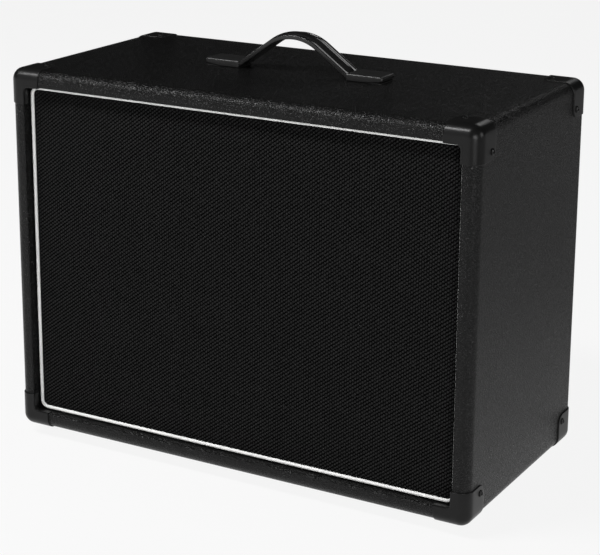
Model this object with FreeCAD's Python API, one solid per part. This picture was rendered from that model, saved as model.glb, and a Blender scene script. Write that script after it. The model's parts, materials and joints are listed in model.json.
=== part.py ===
import FreeCAD, Part
import math
import os

# Closed guitar speaker cabinet for one 12 inch speaker, in millimetres.
# X points right, Y points to the rear and Z points up.
# The origin is on the floor, under the middle of the box.

V = FreeCAD.Vector

# Box, measured over its vinyl covering
cab_width = 560.0
cab_depth = 280.0
speaker_to_top = 52.0
edge_round = 12.0
lip_round = 1.2
panel_thick = 16.0
vinyl_thick = 1.0
finger_count = 9

# Boards inside the box
baffle_thick = 18.0
back_thick = 12.0
back_set_in = 10.0
cleat_size = 18.0
board_gap = 0.6

# Grille
grille_set_in = 11.8
grille_gap = 1.0
frame_thick = 12.0
frame_rail = 38.0
cloth_thick = 0.8
cloth_return = 34.0
piping_size = 3.8
piping_set_back = 0.5
piping_turn = 8.0
piping_tail = 0.8
piping_tail_depth = 9.0
pad_thick = 1.5
pad_width = 20.0
pad_length = 50.0
pad_from_end = 90.0

# Corner protectors
corner_wall = 1.2
corner_leg = 38.0
corner_free_round = 11.0
lip_to_grille = 0.3
lip_to_piping = 3.0
corner_inner_round = 5.0
corner_screw_from_edge = 9.0

# Feet
foot_height = 13.0
foot_top_radius = 19.0
foot_bottom_radius = 16.5
foot_bottom_round = 2.0
foot_web = 5.0
foot_well_radius = 7.0
foot_inset = 62.0

# Wood screws
wood_head_radius = 3.6
wood_head_height = 2.2
wood_shank_radius = 1.9
screw_bite = 11.0
baffle_screw_count = 3
back_screw_count = 4

# Strap handle
handle_length = 219.0
handle_behind_middle = 5.0
cap_length = 42.5
cap_wall = 1.2
cap_room = 0.4
cap_edge_round = 1.5
cap_lift = 2.4
cap_lift_length = 20.0
base_thick = 1.2
strap_side_gap = 0.3
strap_width = 27.0
strap_thick = 4.0
strap_rise = 36.7
strap_crown_radius = 50.0
strap_bend_radius = 14.0
strap_bend_inside_cap = 5.0
strap_rim_width = 2.4
strap_rim_height = 0.8
strap_ridge_width = 13.0
strap_ridge_height = 2.9
tab_thick = 2.2
tab_width = 22.0
tab_end_wall = 2.2
tab_end_room = 3.3
strap_slide = 11.5
band_thick = 0.8
band_width = 16.0
handle_screw_radius = 2.5
handle_screw_below_nut = 2.0
shoulder_radius = 3.5
shoulder_gap = 0.3
handle_head_radius = 5.5
handle_head_height = 2.0
tee_flange_radius = 9.0
tee_flange_thick = 1.5
tee_barrel_radius = 3.6
tee_barrel_length = 9.0

# Speaker, with depths counted backwards from its rim
speaker_radius = 155.0
baffle_past_gasket = 1.0
bolt_from_edge = 6.5
bolt_count = 8
bolt_radius = 2.5
bolt_head_radius = 4.6
bolt_head_height = 2.2
bolt_past_nut = 2.0
nut_across_flats = 8.0
nut_thick = 4.0
gasket_thick = 4.0
gasket_width = 15.0
basket_wall = 1.2
basket_rim_width = 19.0
basket_ledge_drop = 56.0
basket_ledge_width = 12.0
basket_cup_radius = 58.0
basket_cup_taper = 4.0
basket_cup_drop = 16.0
basket_floor_width = 22.0
window_count = 8
window_share = 0.66
window_margin = 9.0
top_plate_radius = 60.0
top_plate_thick = 7.0
magnet_radius = 67.0
magnet_inner_radius = 36.0
magnet_thick = 20.0
back_plate_radius = 60.0
back_plate_thick = 8.0
pole_radius = 21.3
coil_gap = 0.5
former_wall = 0.4
coil_wall = 1.0
coil_length = 13.0
surround_width = 11.0
surround_glue_width = 3.0
surround_gap = 0.3
surround_wall = 0.7
surround_roll = 3.6
cone_edge_drop = 2.0
cone_flat = 4.0
cone_wall = 0.9
cone_above_ledge = 1.0
dust_cap_radius = 38.0
dust_cap_height = 14.0
spider_collar = 4.0
spider_wall = 0.8
spider_dish = 2.5
spider_waves = 4
spider_wave_height = 2.6
glue_gap = 0.05

# Terminals, jack sockets and wires
board_width = 28.0
board_height = 22.0
board_thick = 2.0
tag_width = 4.0
tag_thick = 0.8
tag_length = 8.0
terminal_pitch = 12.0
jack_plate_width = 100.0
jack_plate_height = 48.0
jack_plate_thick = 1.5
jack_plate_round = 4.0
plate_screw_from_edge = 6.0
jack_above_bottom = 90.0
jack_pitch = 40.0
jack_width = 15.0
jack_height = 17.0
jack_depth = 24.0
jack_wall = 1.5
jack_end_wall = 2.0
jack_bore_radius = 3.25
bush_radius = 4.75
bush_past_plate = 7.0
jack_nut_flats = 12.7
jack_nut_thick = 2.5
cutout_gap = 4.0
leaf_thick = 0.4
leaf_width = 3.5
leaf_height = 5.0
leaf_bend_height = 4.4
leaf_touch_height = 2.3
leaf_touch_depth = 9.0
leaf_bend_length = 3.0
leaf_slit_gap = 0.2
wire_size = 2.6
link_wire_size = 1.6
hole_gap = 0.1

# Places worked out from the sizes
cab_height = 2 * (speaker_radius + speaker_to_top)
z_bottom = foot_height
z_top = foot_height + cab_height
z_mid = foot_height + cab_height / 2
y_front = -cab_depth / 2
y_rear = cab_depth / 2
open_x = cab_width / 2 - panel_thick - 2 * vinyl_thick
open_z = cab_height / 2 - panel_thick - 2 * vinyl_thick
inner_x = open_x + vinyl_thick
inner_z = open_z + vinyl_thick
cloth_front = y_front + grille_set_in
frame_front = cloth_front + cloth_thick
frame_back = frame_front + frame_thick
loop_front = frame_back + cloth_thick
hook_front = loop_front + pad_thick
baffle_front = hook_front + pad_thick
baffle_back = baffle_front + baffle_thick
back_rear = y_rear - back_set_in
back_front = back_rear - back_thick
edge_x = open_x - grille_gap - piping_size
edge_z = open_z - grille_gap - piping_size
edge_turn = piping_turn - piping_size / 2
frame_x = edge_x - cloth_thick
frame_z = edge_z - cloth_thick
frame_turn = edge_turn - cloth_thick
corner_lip = grille_gap - lip_to_grille
corner_lip_depth = grille_set_in + piping_set_back - piping_size / 2 - lip_to_piping
corner_screw_length = corner_wall + vinyl_thick + screw_bite
foot_screw_length = foot_web + vinyl_thick + screw_bite
baffle_screw_length = baffle_thick + screw_bite
back_screw_length = back_thick + screw_bite
plate_screw_length = jack_plate_thick + screw_bite
handle_y = handle_behind_middle
handle_end = handle_length / 2
cap_width = strap_width + 2 * (strap_side_gap + cap_wall)
mouth_x = handle_end - cap_length
bend_x = mouth_x + strap_bend_inside_cap
tab_past_screw = shoulder_radius + shoulder_gap + tab_end_wall
screw_x = handle_end - cap_wall - tab_end_room - strap_slide - tab_past_screw
tab_end = screw_x + tab_past_screw
strap_low = -tab_thick / 2
strap_high = strap_thick + strap_low
strap_middle_z = z_top + base_thick + tab_thick / 2
head_top = z_top + base_thick + tab_thick + shoulder_gap + handle_head_height
mouth_bend = math.asin(strap_bend_inside_cap / (strap_bend_radius - strap_high))
mouth_strap_top = strap_middle_z + strap_bend_radius - (strap_bend_radius - strap_high) * math.cos(mouth_bend)
cap_roof = max(head_top, mouth_strap_top) + cap_room
cap_top = cap_roof + cap_wall
rim_depth = gasket_thick
ledge_depth = rim_depth + basket_ledge_drop
floor_depth = ledge_depth + basket_cup_drop
gasket_inner_radius = speaker_radius - gasket_width
baffle_hole_radius = gasket_inner_radius - baffle_past_gasket
bolt_circle_radius = speaker_radius - bolt_from_edge
basket_rim_radius = speaker_radius - basket_rim_width
basket_ledge_radius = basket_cup_radius + basket_ledge_width
cone_edge_radius = basket_rim_radius - surround_width
cone_edge_depth = rim_depth + cone_edge_drop
cone_neck_depth = ledge_depth - cone_above_ledge
former_inner = pole_radius + coil_gap
former_outer = former_inner + former_wall
coil_outer = former_outer + coil_wall
coil_middle = floor_depth + top_plate_thick / 2
magnet_front = floor_depth + top_plate_thick
magnet_back = magnet_front + magnet_thick
jack_z = z_bottom + jack_above_bottom
plate_rear = back_rear + jack_plate_thick
jack_end = back_rear - jack_depth
board_front = baffle_back + ledge_depth + basket_wall
board_back = board_front + board_thick
board_z = z_mid + basket_cup_radius + basket_wall + board_height / 2


def box(x0, x1, y0, y1, z0, z1):
    """Block between two opposite corners."""
    return Part.makeBox(x1 - x0, y1 - y0, z1 - z0, V(x0, y0, z0))


def fuse(shapes):
    """One solid out of several that touch or overlap."""
    return shapes[0].multiFuse(shapes[1:]).removeSplitter()


def slab(half_x, half_z, turn, y0, y1):
    """Upright board about the middle of the front, with its four corners rounded to a radius."""
    board = box(-half_x, half_x, y0, y1, z_mid - half_z, z_mid + half_z)
    if turn <= 0:
        return board
    return board.makeFillet(turn, [e for e in board.Edges if along(e, V(0, 1, 0))])


def along(edge, direction):
    """Tells whether a straight edge runs along a direction."""
    first, last = edge.Vertexes[0].Point, edge.Vertexes[-1].Point
    return abs((last - first).normalize().dot(direction)) > 0.999


def rod(radius, start, direction, length):
    """Round bar from a point along a direction."""
    return Part.makeCylinder(radius, length, start, direction)


def ring(inner, outer, front, back):
    """Flat ring about the speaker's axis, between two depths behind the baffle."""
    centre = V(0, baffle_back + front, z_mid)
    outside = rod(outer, centre, V(0, 1, 0), back - front)
    return outside.cut(rod(inner, centre, V(0, 1, 0), back - front))


def turned(profile, angle=360.0):
    """Solid of revolution about the speaker's axis, from (radius, depth behind the baffle) points."""
    points = [V(radius, baffle_back + depth, z_mid) for radius, depth in profile]
    face = Part.Face(Part.makePolygon(points + points[:1]))
    return face.revolve(V(0, 0, z_mid), V(0, 1, 0), angle)


def hexagon(across_flats, y0, y1, x, z):
    """Hexagonal prism along Y."""
    radius = across_flats / math.sqrt(3)
    turns = [math.radians(60 * k) for k in range(6)]
    points = [V(x + radius * math.cos(t), y0, z + radius * math.sin(t)) for t in turns]
    return Part.Face(Part.makePolygon(points + points[:1])).extrude(V(0, y1 - y0, 0))


def spread(count, half):
    """Even places from minus half to plus half, or the middle alone."""
    if count == 1:
        return [0.0]
    return [-half + 2 * half * k / (count - 1) for k in range(count)]


def pan_head(radius, height):
    """Domed screw head standing on the ground plane, with a cross recess."""
    side = 0.35 * height
    rise = height - side
    dome_radius = (radius**2 + rise**2) / (2 * rise)
    middle = V(0, 0, side + rise - dome_radius)
    dome = Part.makeSphere(dome_radius, middle)
    head = rod(radius, V(0, 0, 0), V(0, 0, 1), height).common(dome)
    slot, reach, floor = 0.15 * radius, 0.55 * radius, 0.45 * height
    across = box(-reach, reach, -slot, slot, floor, height)
    upright = box(-slot, slot, -reach, reach, floor, height)
    return head.cut([across, upright])


def wood_screw(length):
    """Pan head screw with its seat on the ground plane and its pointed shank below."""
    point = 2 * wood_shank_radius
    shank = rod(wood_shank_radius, V(0, 0, 0), V(0, 0, -1), length - point)
    tip = Part.makeCone(wood_shank_radius, 0.2, point, V(0, 0, point - length), V(0, 0, -1))
    return fuse([pan_head(wood_head_radius, wood_head_height), shank, tip])


def placed(shape, seat, outward):
    """Copy of a shape with its ground plane on a seat and its own Z pointing outward."""
    copy = shape.copy()
    copy.Placement = FreeCAD.Placement(seat, FreeCAD.Rotation(V(0, 0, 1), outward))
    return copy


def screw_hole(seat, outward, radius, length):
    """Drilled hole for a screw, from its seat inward."""
    return rod(radius + hole_gap, seat, outward * -1, length + hole_gap)


def walls(inset):
    """Box tube, open front and rear, of the covered box with every surface drawn in by an inset."""
    half_x, half_y, half_z = cab_width / 2 - inset, cab_depth / 2 - inset, cab_height / 2 - inset
    block = box(-half_x, half_x, -half_y, half_y, z_mid - half_z, z_mid + half_z)
    block = block.makeFillet(edge_round - inset, block.Edges)
    tube = block.cut(slab(open_x + inset, open_z + inset, 0, -half_y, half_y))
    rims = []
    for edge in tube.Edges:
        middle = edge.CenterOfMass
        on_face = abs(abs(middle.y) - half_y) < 1e-6
        inside = abs(middle.x) < open_x + inset + 1e-6 and abs(middle.z - z_mid) < open_z + inset + 1e-6
        if on_face and inside:
            rims.append(edge)
    return tube.makeFillet(lip_round - inset, rims)


def corner_screw_seats():
    """Seat and outward direction of each corner screw: one on the side and one on the top or bottom."""
    seats = []
    reach = corner_leg - corner_screw_from_edge
    x, y, z = cab_width / 2, cab_depth / 2, cab_height / 2
    for right in (-1, 1):
        for rear in (-1, 1):
            for up in (-1, 1):
                side = V(right * (x + corner_wall), rear * (y - reach), z_mid + up * (z - reach))
                cover = V(right * (x - reach), rear * (y - reach), z_mid + up * (z + corner_wall))
                seats.append((side, V(right, 0, 0)))
                seats.append((cover, V(0, 0, up)))
    return seats


def foot_places():
    """Middle of each foot on the floor, by name."""
    x, y = cab_width / 2 - foot_inset, cab_depth / 2 - foot_inset
    return {
        "front_left": V(-x, -y, 0),
        "front_right": V(x, -y, 0),
        "rear_left": V(-x, y, 0),
        "rear_right": V(x, y, 0),
    }


def foot_screw_seats():
    """Seat and outward direction of each foot screw, on the web inside its foot."""
    return [(place + V(0, 0, foot_height - foot_web), V(0, 0, -1)) for place in foot_places().values()]


def baffle_screw_seats():
    """Seats on the front of the baffle, over the middle of the cleats."""
    x, z = inner_x - cleat_size / 2, inner_z - cleat_size / 2
    seats = []
    for up in (-1, 1):
        for place in spread(baffle_screw_count, x - 2 * cleat_size):
            seats.append((V(place, baffle_front, z_mid + up * z), V(0, -1, 0)))
    for right in (-1, 1):
        seats.append((V(right * x, baffle_front, z_mid), V(0, -1, 0)))
    return seats


def back_screw_seats():
    """Seats on the rear of the back panel, over the middle of the cleats."""
    x, z = inner_x - cleat_size / 2, inner_z - cleat_size / 2
    seats = []
    for up in (-1, 1):
        for place in spread(back_screw_count, x - cleat_size):
            seats.append((V(place, back_rear, z_mid + up * z), V(0, 1, 0)))
    for right in (-1, 1):
        seats.append((V(right * x, back_rear, z_mid), V(0, 1, 0)))
    return seats


def plate_screw_seats():
    """Seats of the four jack plate screws."""
    x, z = jack_plate_width / 2 - plate_screw_from_edge, jack_plate_height / 2 - plate_screw_from_edge
    return [(V(i * x, plate_rear, jack_z + k * z), V(0, 1, 0)) for i in (-1, 1) for k in (-1, 1)]


def screws(seats, length):
    """Group of equal wood screws."""
    return Part.makeCompound([placed(wood_screw(length), seat, outward) for seat, outward in seats])


def holes(seats, length):
    """Holes for a group of equal wood screws."""
    return [screw_hole(seat, outward, wood_shank_radius, length) for seat, outward in seats]


def bolt_places():
    """Places of the speaker bolts, as (x, z)."""
    turns = [2 * math.pi * (k + 0.5) / bolt_count for k in range(bolt_count)]
    return [(bolt_circle_radius * math.cos(t), z_mid + bolt_circle_radius * math.sin(t)) for t in turns]


def bolt_holes(y0, y1):
    """Clearance holes for the speaker bolts."""
    return [rod(bolt_radius + hole_gap, V(x, y0, z), V(0, 1, 0), y1 - y0) for x, z in bolt_places()]


def carcass():
    """Four plywood panels with finger joints at the corners, rounded together outside."""
    wood = walls(vinyl_thick)
    half_y = cab_depth / 2 - vinyl_thick
    outer_x, outer_z = inner_x + panel_thick, inner_z + panel_thick
    pitch = 2 * half_y / finger_count
    drilled = holes(corner_screw_seats(), corner_screw_length)
    drilled += holes(foot_screw_seats(), foot_screw_length)
    drilled += handle_holes()
    made = {}
    for name, level in (("top_panel", 1), ("bottom_panel", -1)):
        low, high = sorted((z_mid + level * inner_z, z_mid + level * outer_z))
        blocks = [box(-inner_x, inner_x, -half_y, half_y, low, high)]
        for k in range(0, finger_count, 2):
            start = -half_y + k * pitch
            blocks.append(box(-outer_x, outer_x, start, start + pitch, low, high))
        made[name] = fuse(blocks).common(wood).cut(drilled)
    for name, side in (("left_panel", -1), ("right_panel", 1)):
        low, high = sorted((side * inner_x, side * outer_x))
        blocks = [box(low, high, -half_y, half_y, z_mid - inner_z, z_mid + inner_z)]
        for k in range(1, finger_count, 2):
            start = -half_y + k * pitch
            blocks.append(box(low, high, start, start + pitch, z_mid - outer_z, z_mid + outer_z))
        made[name] = fuse(blocks).common(wood).cut(drilled)
    return made


def covering():
    """Vinyl skin over the carcass, turned into the front and rear openings as far as the cleats."""
    skin = walls(0).cut(walls(vinyl_thick))
    skin = skin.cut(slab(inner_x, inner_z, 0, baffle_back, back_front))
    drilled = holes(corner_screw_seats(), corner_screw_length)
    drilled += holes(foot_screw_seats(), foot_screw_length)
    return skin.cut(drilled + handle_holes())


def cleats(y0):
    """Four battens round the inside of the box."""
    y1 = y0 + cleat_size
    short_z = inner_z - cleat_size
    bars = []
    for up in (-1, 1):
        low, high = sorted((z_mid + up * inner_z, z_mid + up * short_z))
        bars.append(box(-inner_x, inner_x, y0, y1, low, high))
    for right in (-1, 1):
        low, high = sorted((right * inner_x, right * (inner_x - cleat_size)))
        bars.append(box(low, high, y0, y1, z_mid - short_z, z_mid + short_z))
    return bars


def boards():
    """Baffle, back panel and the cleats that carry them."""
    baffle = slab(open_x - board_gap, open_z - board_gap, 0, baffle_front, baffle_back)
    mouth = rod(baffle_hole_radius, V(0, baffle_front, z_mid), V(0, 1, 0), baffle_thick)
    front_holes = holes(baffle_screw_seats(), baffle_screw_length)
    rear_holes = holes(back_screw_seats(), back_screw_length)
    back = slab(open_x - board_gap, open_z - board_gap, 0, back_front, back_rear)
    cut_x = jack_pitch / 2 + jack_width / 2 + cutout_gap
    cut_z = jack_height / 2 + cutout_gap
    cutout = box(-cut_x, cut_x, back_front, back_rear, jack_z - cut_z, jack_z + cut_z)
    plate_holes = holes(plate_screw_seats(), plate_screw_length)
    return {
        "baffle_board": baffle.cut([mouth] + front_holes + bolt_holes(baffle_front, baffle_back)),
        "back_panel": back.cut([cutout] + rear_holes + plate_holes),
        "baffle_cleats": Part.makeCompound([bar.cut(front_holes) for bar in cleats(baffle_back)]),
        "back_cleats": Part.makeCompound([bar.cut(rear_holes) for bar in cleats(back_front - cleat_size)]),
        "baffle_screws": screws(baffle_screw_seats(), baffle_screw_length),
        "rear_screws": Part.makeCompound(
            [screws(back_screw_seats(), back_screw_length), screws(plate_screw_seats(), plate_screw_length)]
        ),
    }


def corner_region():
    """Reach of one corner protector at the front right top, with the free corner of each leg rounded."""
    far = corner_leg + corner_wall
    x0, y0, z0 = cab_width / 2 - corner_leg, y_front - corner_wall, z_top - corner_leg
    x1, y1, z1 = x0 + far, y0 + far, z0 + far
    region = None
    free = ((V(1, 0, 0), None, y1, z0), (V(0, 1, 0), x0, None, z0), (V(0, 0, 1), x0, y1, None))
    for direction, x, y, z in free:
        block = box(x0, x1, y0, y1, z0, z1)
        for edge in block.Edges:
            middle = edge.CenterOfMass
            near = [abs(a - b) < 1e-6 for a, b in zip(middle, (x, y, z)) if b is not None]
            if along(edge, direction) and all(near):
                block = block.makeFillet(corner_free_round, [edge])
                break
        region = block if region is None else region.common(block)
    return region


def corner_protector(lip):
    """Moulded corner at the front right top. A lip, where it has one, turns into the front opening."""
    half_x, half_y, half_z = [size / 2 + corner_wall for size in (cab_width, cab_depth, cab_height)]
    outside = box(-half_x, half_x, -half_y, half_y, z_mid - half_z, z_mid + half_z)
    outside = outside.makeFillet(edge_round + corner_wall, outside.Edges)
    turn = corner_inner_round if lip else 0
    through = slab(open_x - lip, open_z - lip, turn, -half_y, half_y)
    depth = corner_lip_depth if lip else 0
    behind = slab(open_x, open_z, 0, y_front + depth, half_y)
    return outside.common(corner_region()).cut([through, behind, walls(0)])


def corner_protectors():
    """Eight corner protectors and their screws."""
    drilled = holes(corner_screw_seats(), corner_screw_length)
    made = {}
    for row, lip in (("front", corner_lip), ("rear", 0)):
        shape = corner_protector(lip)
        if row == "rear":
            shape = shape.mirror(V(0, 0, 0), V(0, 1, 0))
        for level in ("top", "bottom"):
            for side in ("right", "left"):
                copy = shape
                if level == "bottom":
                    copy = copy.mirror(V(0, 0, z_mid), V(0, 0, 1))
                if side == "left":
                    copy = copy.mirror(V(0, 0, 0), V(1, 0, 0))
                made["corner_%s_%s_%s" % (row, level, side)] = copy.cut(drilled)
    made["corner_screws"] = screws(corner_screw_seats(), corner_screw_length)
    return made


def feet():
    """Four rubber feet, each with a screw in a well."""
    body = Part.makeCone(foot_bottom_radius, foot_top_radius, foot_height)
    low = [e for e in body.Edges if abs(e.CenterOfMass.z) < 1e-6 and not along_seam(e)]
    body = body.makeFillet(foot_bottom_round, low)
    well = rod(foot_well_radius, V(0, 0, 0), V(0, 0, 1), foot_height - foot_web)
    hole = rod(wood_shank_radius + hole_gap, V(0, 0, 0), V(0, 0, 1), foot_height)
    body = body.cut([well, hole])
    made = {}
    for name, place in foot_places().items():
        copy = body.copy()
        copy.translate(place)
        made["foot_" + name] = copy
    made["foot_screws"] = screws(foot_screw_seats(), foot_screw_length)
    return made


def along_seam(edge):
    """Tells whether an edge is the straight seam of a round face."""
    return len(edge.Vertexes) == 2


def handle_seats():
    """Foot of each handle screw, where its shoulder stands on the base plate."""
    return [V(side * screw_x, handle_y, z_top + base_thick) for side in (-1, 1)]


def handle_holes():
    """Holes through the top of the box for the handle screws and their tee nuts."""
    under = z_top - vinyl_thick - panel_thick
    cut = []
    for seat in handle_seats():
        foot = V(seat.x, seat.y, under)
        cut.append(rod(handle_screw_radius + hole_gap, foot, V(0, 0, 1), seat.z - under))
        cut.append(rod(tee_barrel_radius + hole_gap, foot, V(0, 0, 1), tee_barrel_length + hole_gap))
    return cut


def strap_angle():
    """Slope of the strap's straight sides, from its rise, its span and its two bend radii."""
    radii = strap_crown_radius + strap_bend_radius
    lean = 2 * radii - strap_rise
    half = (bend_x - math.sqrt(bend_x**2 - lean * strap_rise)) / lean
    return 2 * math.atan(half)


def strap_points(offset):
    """Points of a line parallel to the strap's middle line, from its right end bend to the crown."""
    slope = strap_angle()
    half = slope / 2
    apex = strap_middle_z + strap_rise

    def lifted(x, z, angle):
        return V(x + offset * math.sin(angle), handle_y, z + offset * math.cos(angle))

    def bent(angle):
        drop = strap_bend_radius * (1 - math.cos(angle))
        return lifted(bend_x - strap_bend_radius * math.sin(angle), strap_middle_z + drop, angle)

    crown_drop = strap_crown_radius * (1 - math.cos(slope))
    crown = lifted(strap_crown_radius * math.sin(slope), apex - crown_drop, slope)
    return bent(0), bent(half), bent(slope), crown, lifted(0, apex, 0)


def strap_edges(offset, with_bends):
    """Line parallel to the strap's middle line, from its right end to its left end."""
    flat, bend, ramp, crown, apex = strap_points(offset)
    left = [V(-p.x, p.y, p.z) for p in (flat, bend, ramp, crown)]
    edges = [
        Part.LineSegment(ramp, crown),
        Part.Arc(crown, apex, left[3]),
        Part.LineSegment(left[3], left[2]),
    ]
    if with_bends:
        edges = [Part.Arc(flat, bend, ramp)] + edges + [Part.Arc(left[2], left[1], left[0])]
    return [edge.toShape() for edge in edges]


def strap_ribbon(low, high, y0, y1, with_bends):
    """Strip between two lines parallel to the strap's middle line."""
    first = 0 if with_bends else 2
    right = Part.LineSegment(strap_points(high)[first], strap_points(low)[first]).toShape()
    left = right.mirror(V(0, 0, 0), V(1, 0, 0))
    outline = strap_edges(high, with_bends) + strap_edges(low, with_bends) + [right, left]
    face = Part.Face(Part.Wire(Part.__sortEdges__(outline)))
    face.translate(V(0, y0, 0))
    return face.extrude(V(0, y1 - y0, 0))


def end_slots(radius, z0, z1):
    """Slots for the two handle screws, long enough for the strap's ends to slide outward."""
    cut = []
    for side in (-1, 1):
        inner = side * (screw_x - strap_slide)
        outer = side * screw_x
        for x in (inner, outer):
            cut.append(rod(radius, V(x, handle_y, z0), V(0, 0, 1), z1 - z0))
        low, high = sorted((inner, outer))
        cut.append(box(low, high, handle_y - radius, handle_y + radius, z0, z1))
    return cut


def strap_with_tabs(low, high, half_width, tab_low, tab_high, tab_half_width):
    """Arched strip with a flat tab at each end."""
    strip = strap_ribbon(low, high, -half_width, half_width, True)
    tabs = []
    for side in (-1, 1):
        x0, x1 = sorted((side * bend_x, side * tab_end))
        y0, y1 = handle_y - tab_half_width, handle_y + tab_half_width
        tabs.append(box(x0, x1, y0, y1, strap_middle_z + tab_low, strap_middle_z + tab_high))
    return fuse([strip] + tabs)


def handle():
    """Arched strap with a spring band inside, held at both ends under a cap by a shouldered screw."""
    half = strap_width / 2
    strap = strap_with_tabs(strap_low, strap_high, half, strap_low, -strap_low, tab_width / 2)
    rim_in = half - strap_rim_width
    rim_top, ridge_top = strap_high + strap_rim_height, strap_high + strap_ridge_height
    raised = [
        strap_ribbon(strap_high, rim_top, -half, -rim_in, False),
        strap_ribbon(strap_high, rim_top, rim_in, half, False),
        strap_ribbon(strap_high, ridge_top, -strap_ridge_width / 2, strap_ridge_width / 2, False),
    ]
    strap = fuse([strap] + raised)
    thick, wide = band_thick / 2, band_width / 2
    band = strap_with_tabs(-thick, thick, wide, -thick, thick, wide)
    room, room_wide = thick + hole_gap, wide + hole_gap
    channel = strap_with_tabs(-room, room, room_wide, -room, room, room_wide)
    slots = end_slots(shoulder_radius + shoulder_gap, z_top, cap_top)
    made = {
        "handle_strap": strap.cut([channel] + slots),
        "strap_spring_band": band.cut(slots),
    }
    shoulder = tab_thick + shoulder_gap
    reach = base_thick + vinyl_thick + panel_thick + tee_flange_thick + handle_screw_below_nut
    bolt = fuse(
        [
            placed(pan_head(handle_head_radius, handle_head_height), V(0, 0, shoulder), V(0, 0, 1)),
            rod(shoulder_radius, V(0, 0, 0), V(0, 0, 1), shoulder),
            rod(handle_screw_radius, V(0, 0, 0), V(0, 0, -1), reach),
        ]
    )
    made["handle_screws"] = Part.makeCompound([placed(bolt, seat, V(0, 0, 1)) for seat in handle_seats()])
    made["handle_tee_nuts"] = Part.makeCompound([tee_nut(seat) for seat in handle_seats()])
    for name, side in (("left", -1), ("right", 1)):
        made["handle_base_" + name] = handle_base(side)
        made["handle_cap_" + name] = handle_cap(side)
    return made


def tee_nut(seat):
    """Tee nut pressed into the underside of the top panel."""
    under = z_top - vinyl_thick - panel_thick
    foot = V(seat.x, seat.y, under)
    flange = rod(tee_flange_radius, foot - V(0, 0, tee_flange_thick), V(0, 0, 1), tee_flange_thick)
    barrel = rod(tee_barrel_radius, foot, V(0, 0, 1), tee_barrel_length)
    bore = rod(
        handle_screw_radius + glue_gap,
        foot - V(0, 0, tee_flange_thick),
        V(0, 0, 1),
        tee_flange_thick + tee_barrel_length,
    )
    return flange.fuse(barrel).cut(bore)


def handle_base(side):
    """Plate under one end of the strap, which the cap snaps over."""
    half = cap_width / 2 - cap_wall - hole_gap
    x0, x1 = sorted((side * (bend_x + hole_gap), side * (handle_end - cap_wall - hole_gap)))
    plate = box(x0, x1, handle_y - half, handle_y + half, z_top, z_top + base_thick)
    hole = rod(handle_screw_radius + hole_gap, V(side * screw_x, handle_y, z_top), V(0, 0, 1), base_thick)
    return plate.cut(hole)


def handle_cap(side):
    """Hollow cap over one end of the strap, open towards the strap and lifted a little at its far end."""
    half = cap_width / 2
    block = box(mouth_x, handle_end, handle_y - half, handle_y + half, z_top, cap_top)
    rounded = []
    for edge in block.Edges:
        middle = edge.CenterOfMass
        on_top = abs(middle.z - cap_top) < 1e-6 and middle.x > mouth_x + 1e-6
        at_far_end = along(edge, V(0, 0, 1)) and middle.x > handle_end - 1e-6
        if on_top or at_far_end:
            rounded.append(edge)
    block = block.makeFillet(cap_edge_round, rounded)
    inside = half - cap_wall
    hollow = box(mouth_x, handle_end - cap_wall, handle_y - inside, handle_y + inside, z_top, cap_roof)
    lift_start = handle_end - cap_lift_length
    corners = [
        V(lift_start, handle_y - half, z_top),
        V(handle_end, handle_y - half, z_top),
        V(handle_end, handle_y - half, z_top + cap_lift),
    ]
    wedge = Part.Face(Part.makePolygon(corners + corners[:1])).extrude(V(0, cap_width, 0))
    cap = block.cut([hollow, wedge])
    return cap if side > 0 else cap.mirror(V(0, 0, 0), V(1, 0, 0))


def grille():
    """Wooden frame in stretched cloth, with piping round its edge and pads that hold it to the baffle."""
    frame = slab(frame_x, frame_z, frame_turn, frame_front, frame_back)
    window = slab(frame_x - frame_rail, frame_z - frame_rail, 0, frame_front, frame_back)
    wrapped = slab(edge_x, edge_z, edge_turn, cloth_front, loop_front)
    return_x, return_z = frame_x - cloth_return, frame_z - cloth_return
    bare_back = slab(return_x, return_z, 0, frame_back, loop_front)
    loops, hooks = [], []
    for x, z, half_x, half_z in pad_places():
        loops.append(box(x - half_x, x + half_x, loop_front, hook_front, z - half_z, z + half_z))
        hooks.append(box(x - half_x, x + half_x, hook_front, baffle_front, z - half_z, z + half_z))
    return {
        "grille_frame": frame.cut(window),
        "grille_cloth": wrapped.cut([frame, bare_back]),
        "grille_piping": piping(),
        "loop_pads": Part.makeCompound(loops),
        "hook_pads": Part.makeCompound(hooks),
    }


def pad_places():
    """Middle and half sizes of each hook and loop pad: two on each long rail and one on each short rail."""
    x, z = frame_x - cloth_return / 2, frame_z - cloth_return / 2
    across, up = pad_length / 2, pad_width / 2
    places = [(i * (frame_x - pad_from_end), z_mid + k * z, across, up) for i in (-1, 1) for k in (-1, 1)]
    return places + [(i * x, z_mid, up, across) for i in (-1, 1)]


def piping_section(x, z):
    """Face of the piping at the right edge of the grille: a round bead with a flat tail behind it."""
    half = piping_size / 2
    y = cloth_front + piping_set_back
    tail_start = math.sqrt(half**2 - (half - piping_tail) ** 2)

    def point(outward, back):
        return V(x + outward, y + back, z)

    outline = [
        Part.Arc(point(piping_tail, tail_start), point(half, half), point(piping_size, 0)),
        Part.Arc(point(piping_size, 0), point(half, -half), point(0, 0)),
        Part.LineSegment(point(0, 0), point(0, piping_tail_depth)),
        Part.LineSegment(point(0, piping_tail_depth), point(piping_tail, piping_tail_depth)),
        Part.LineSegment(point(piping_tail, piping_tail_depth), point(piping_tail, tail_start)),
    ]
    return Part.Face(Part.Wire([line.toShape() for line in outline]))


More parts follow.
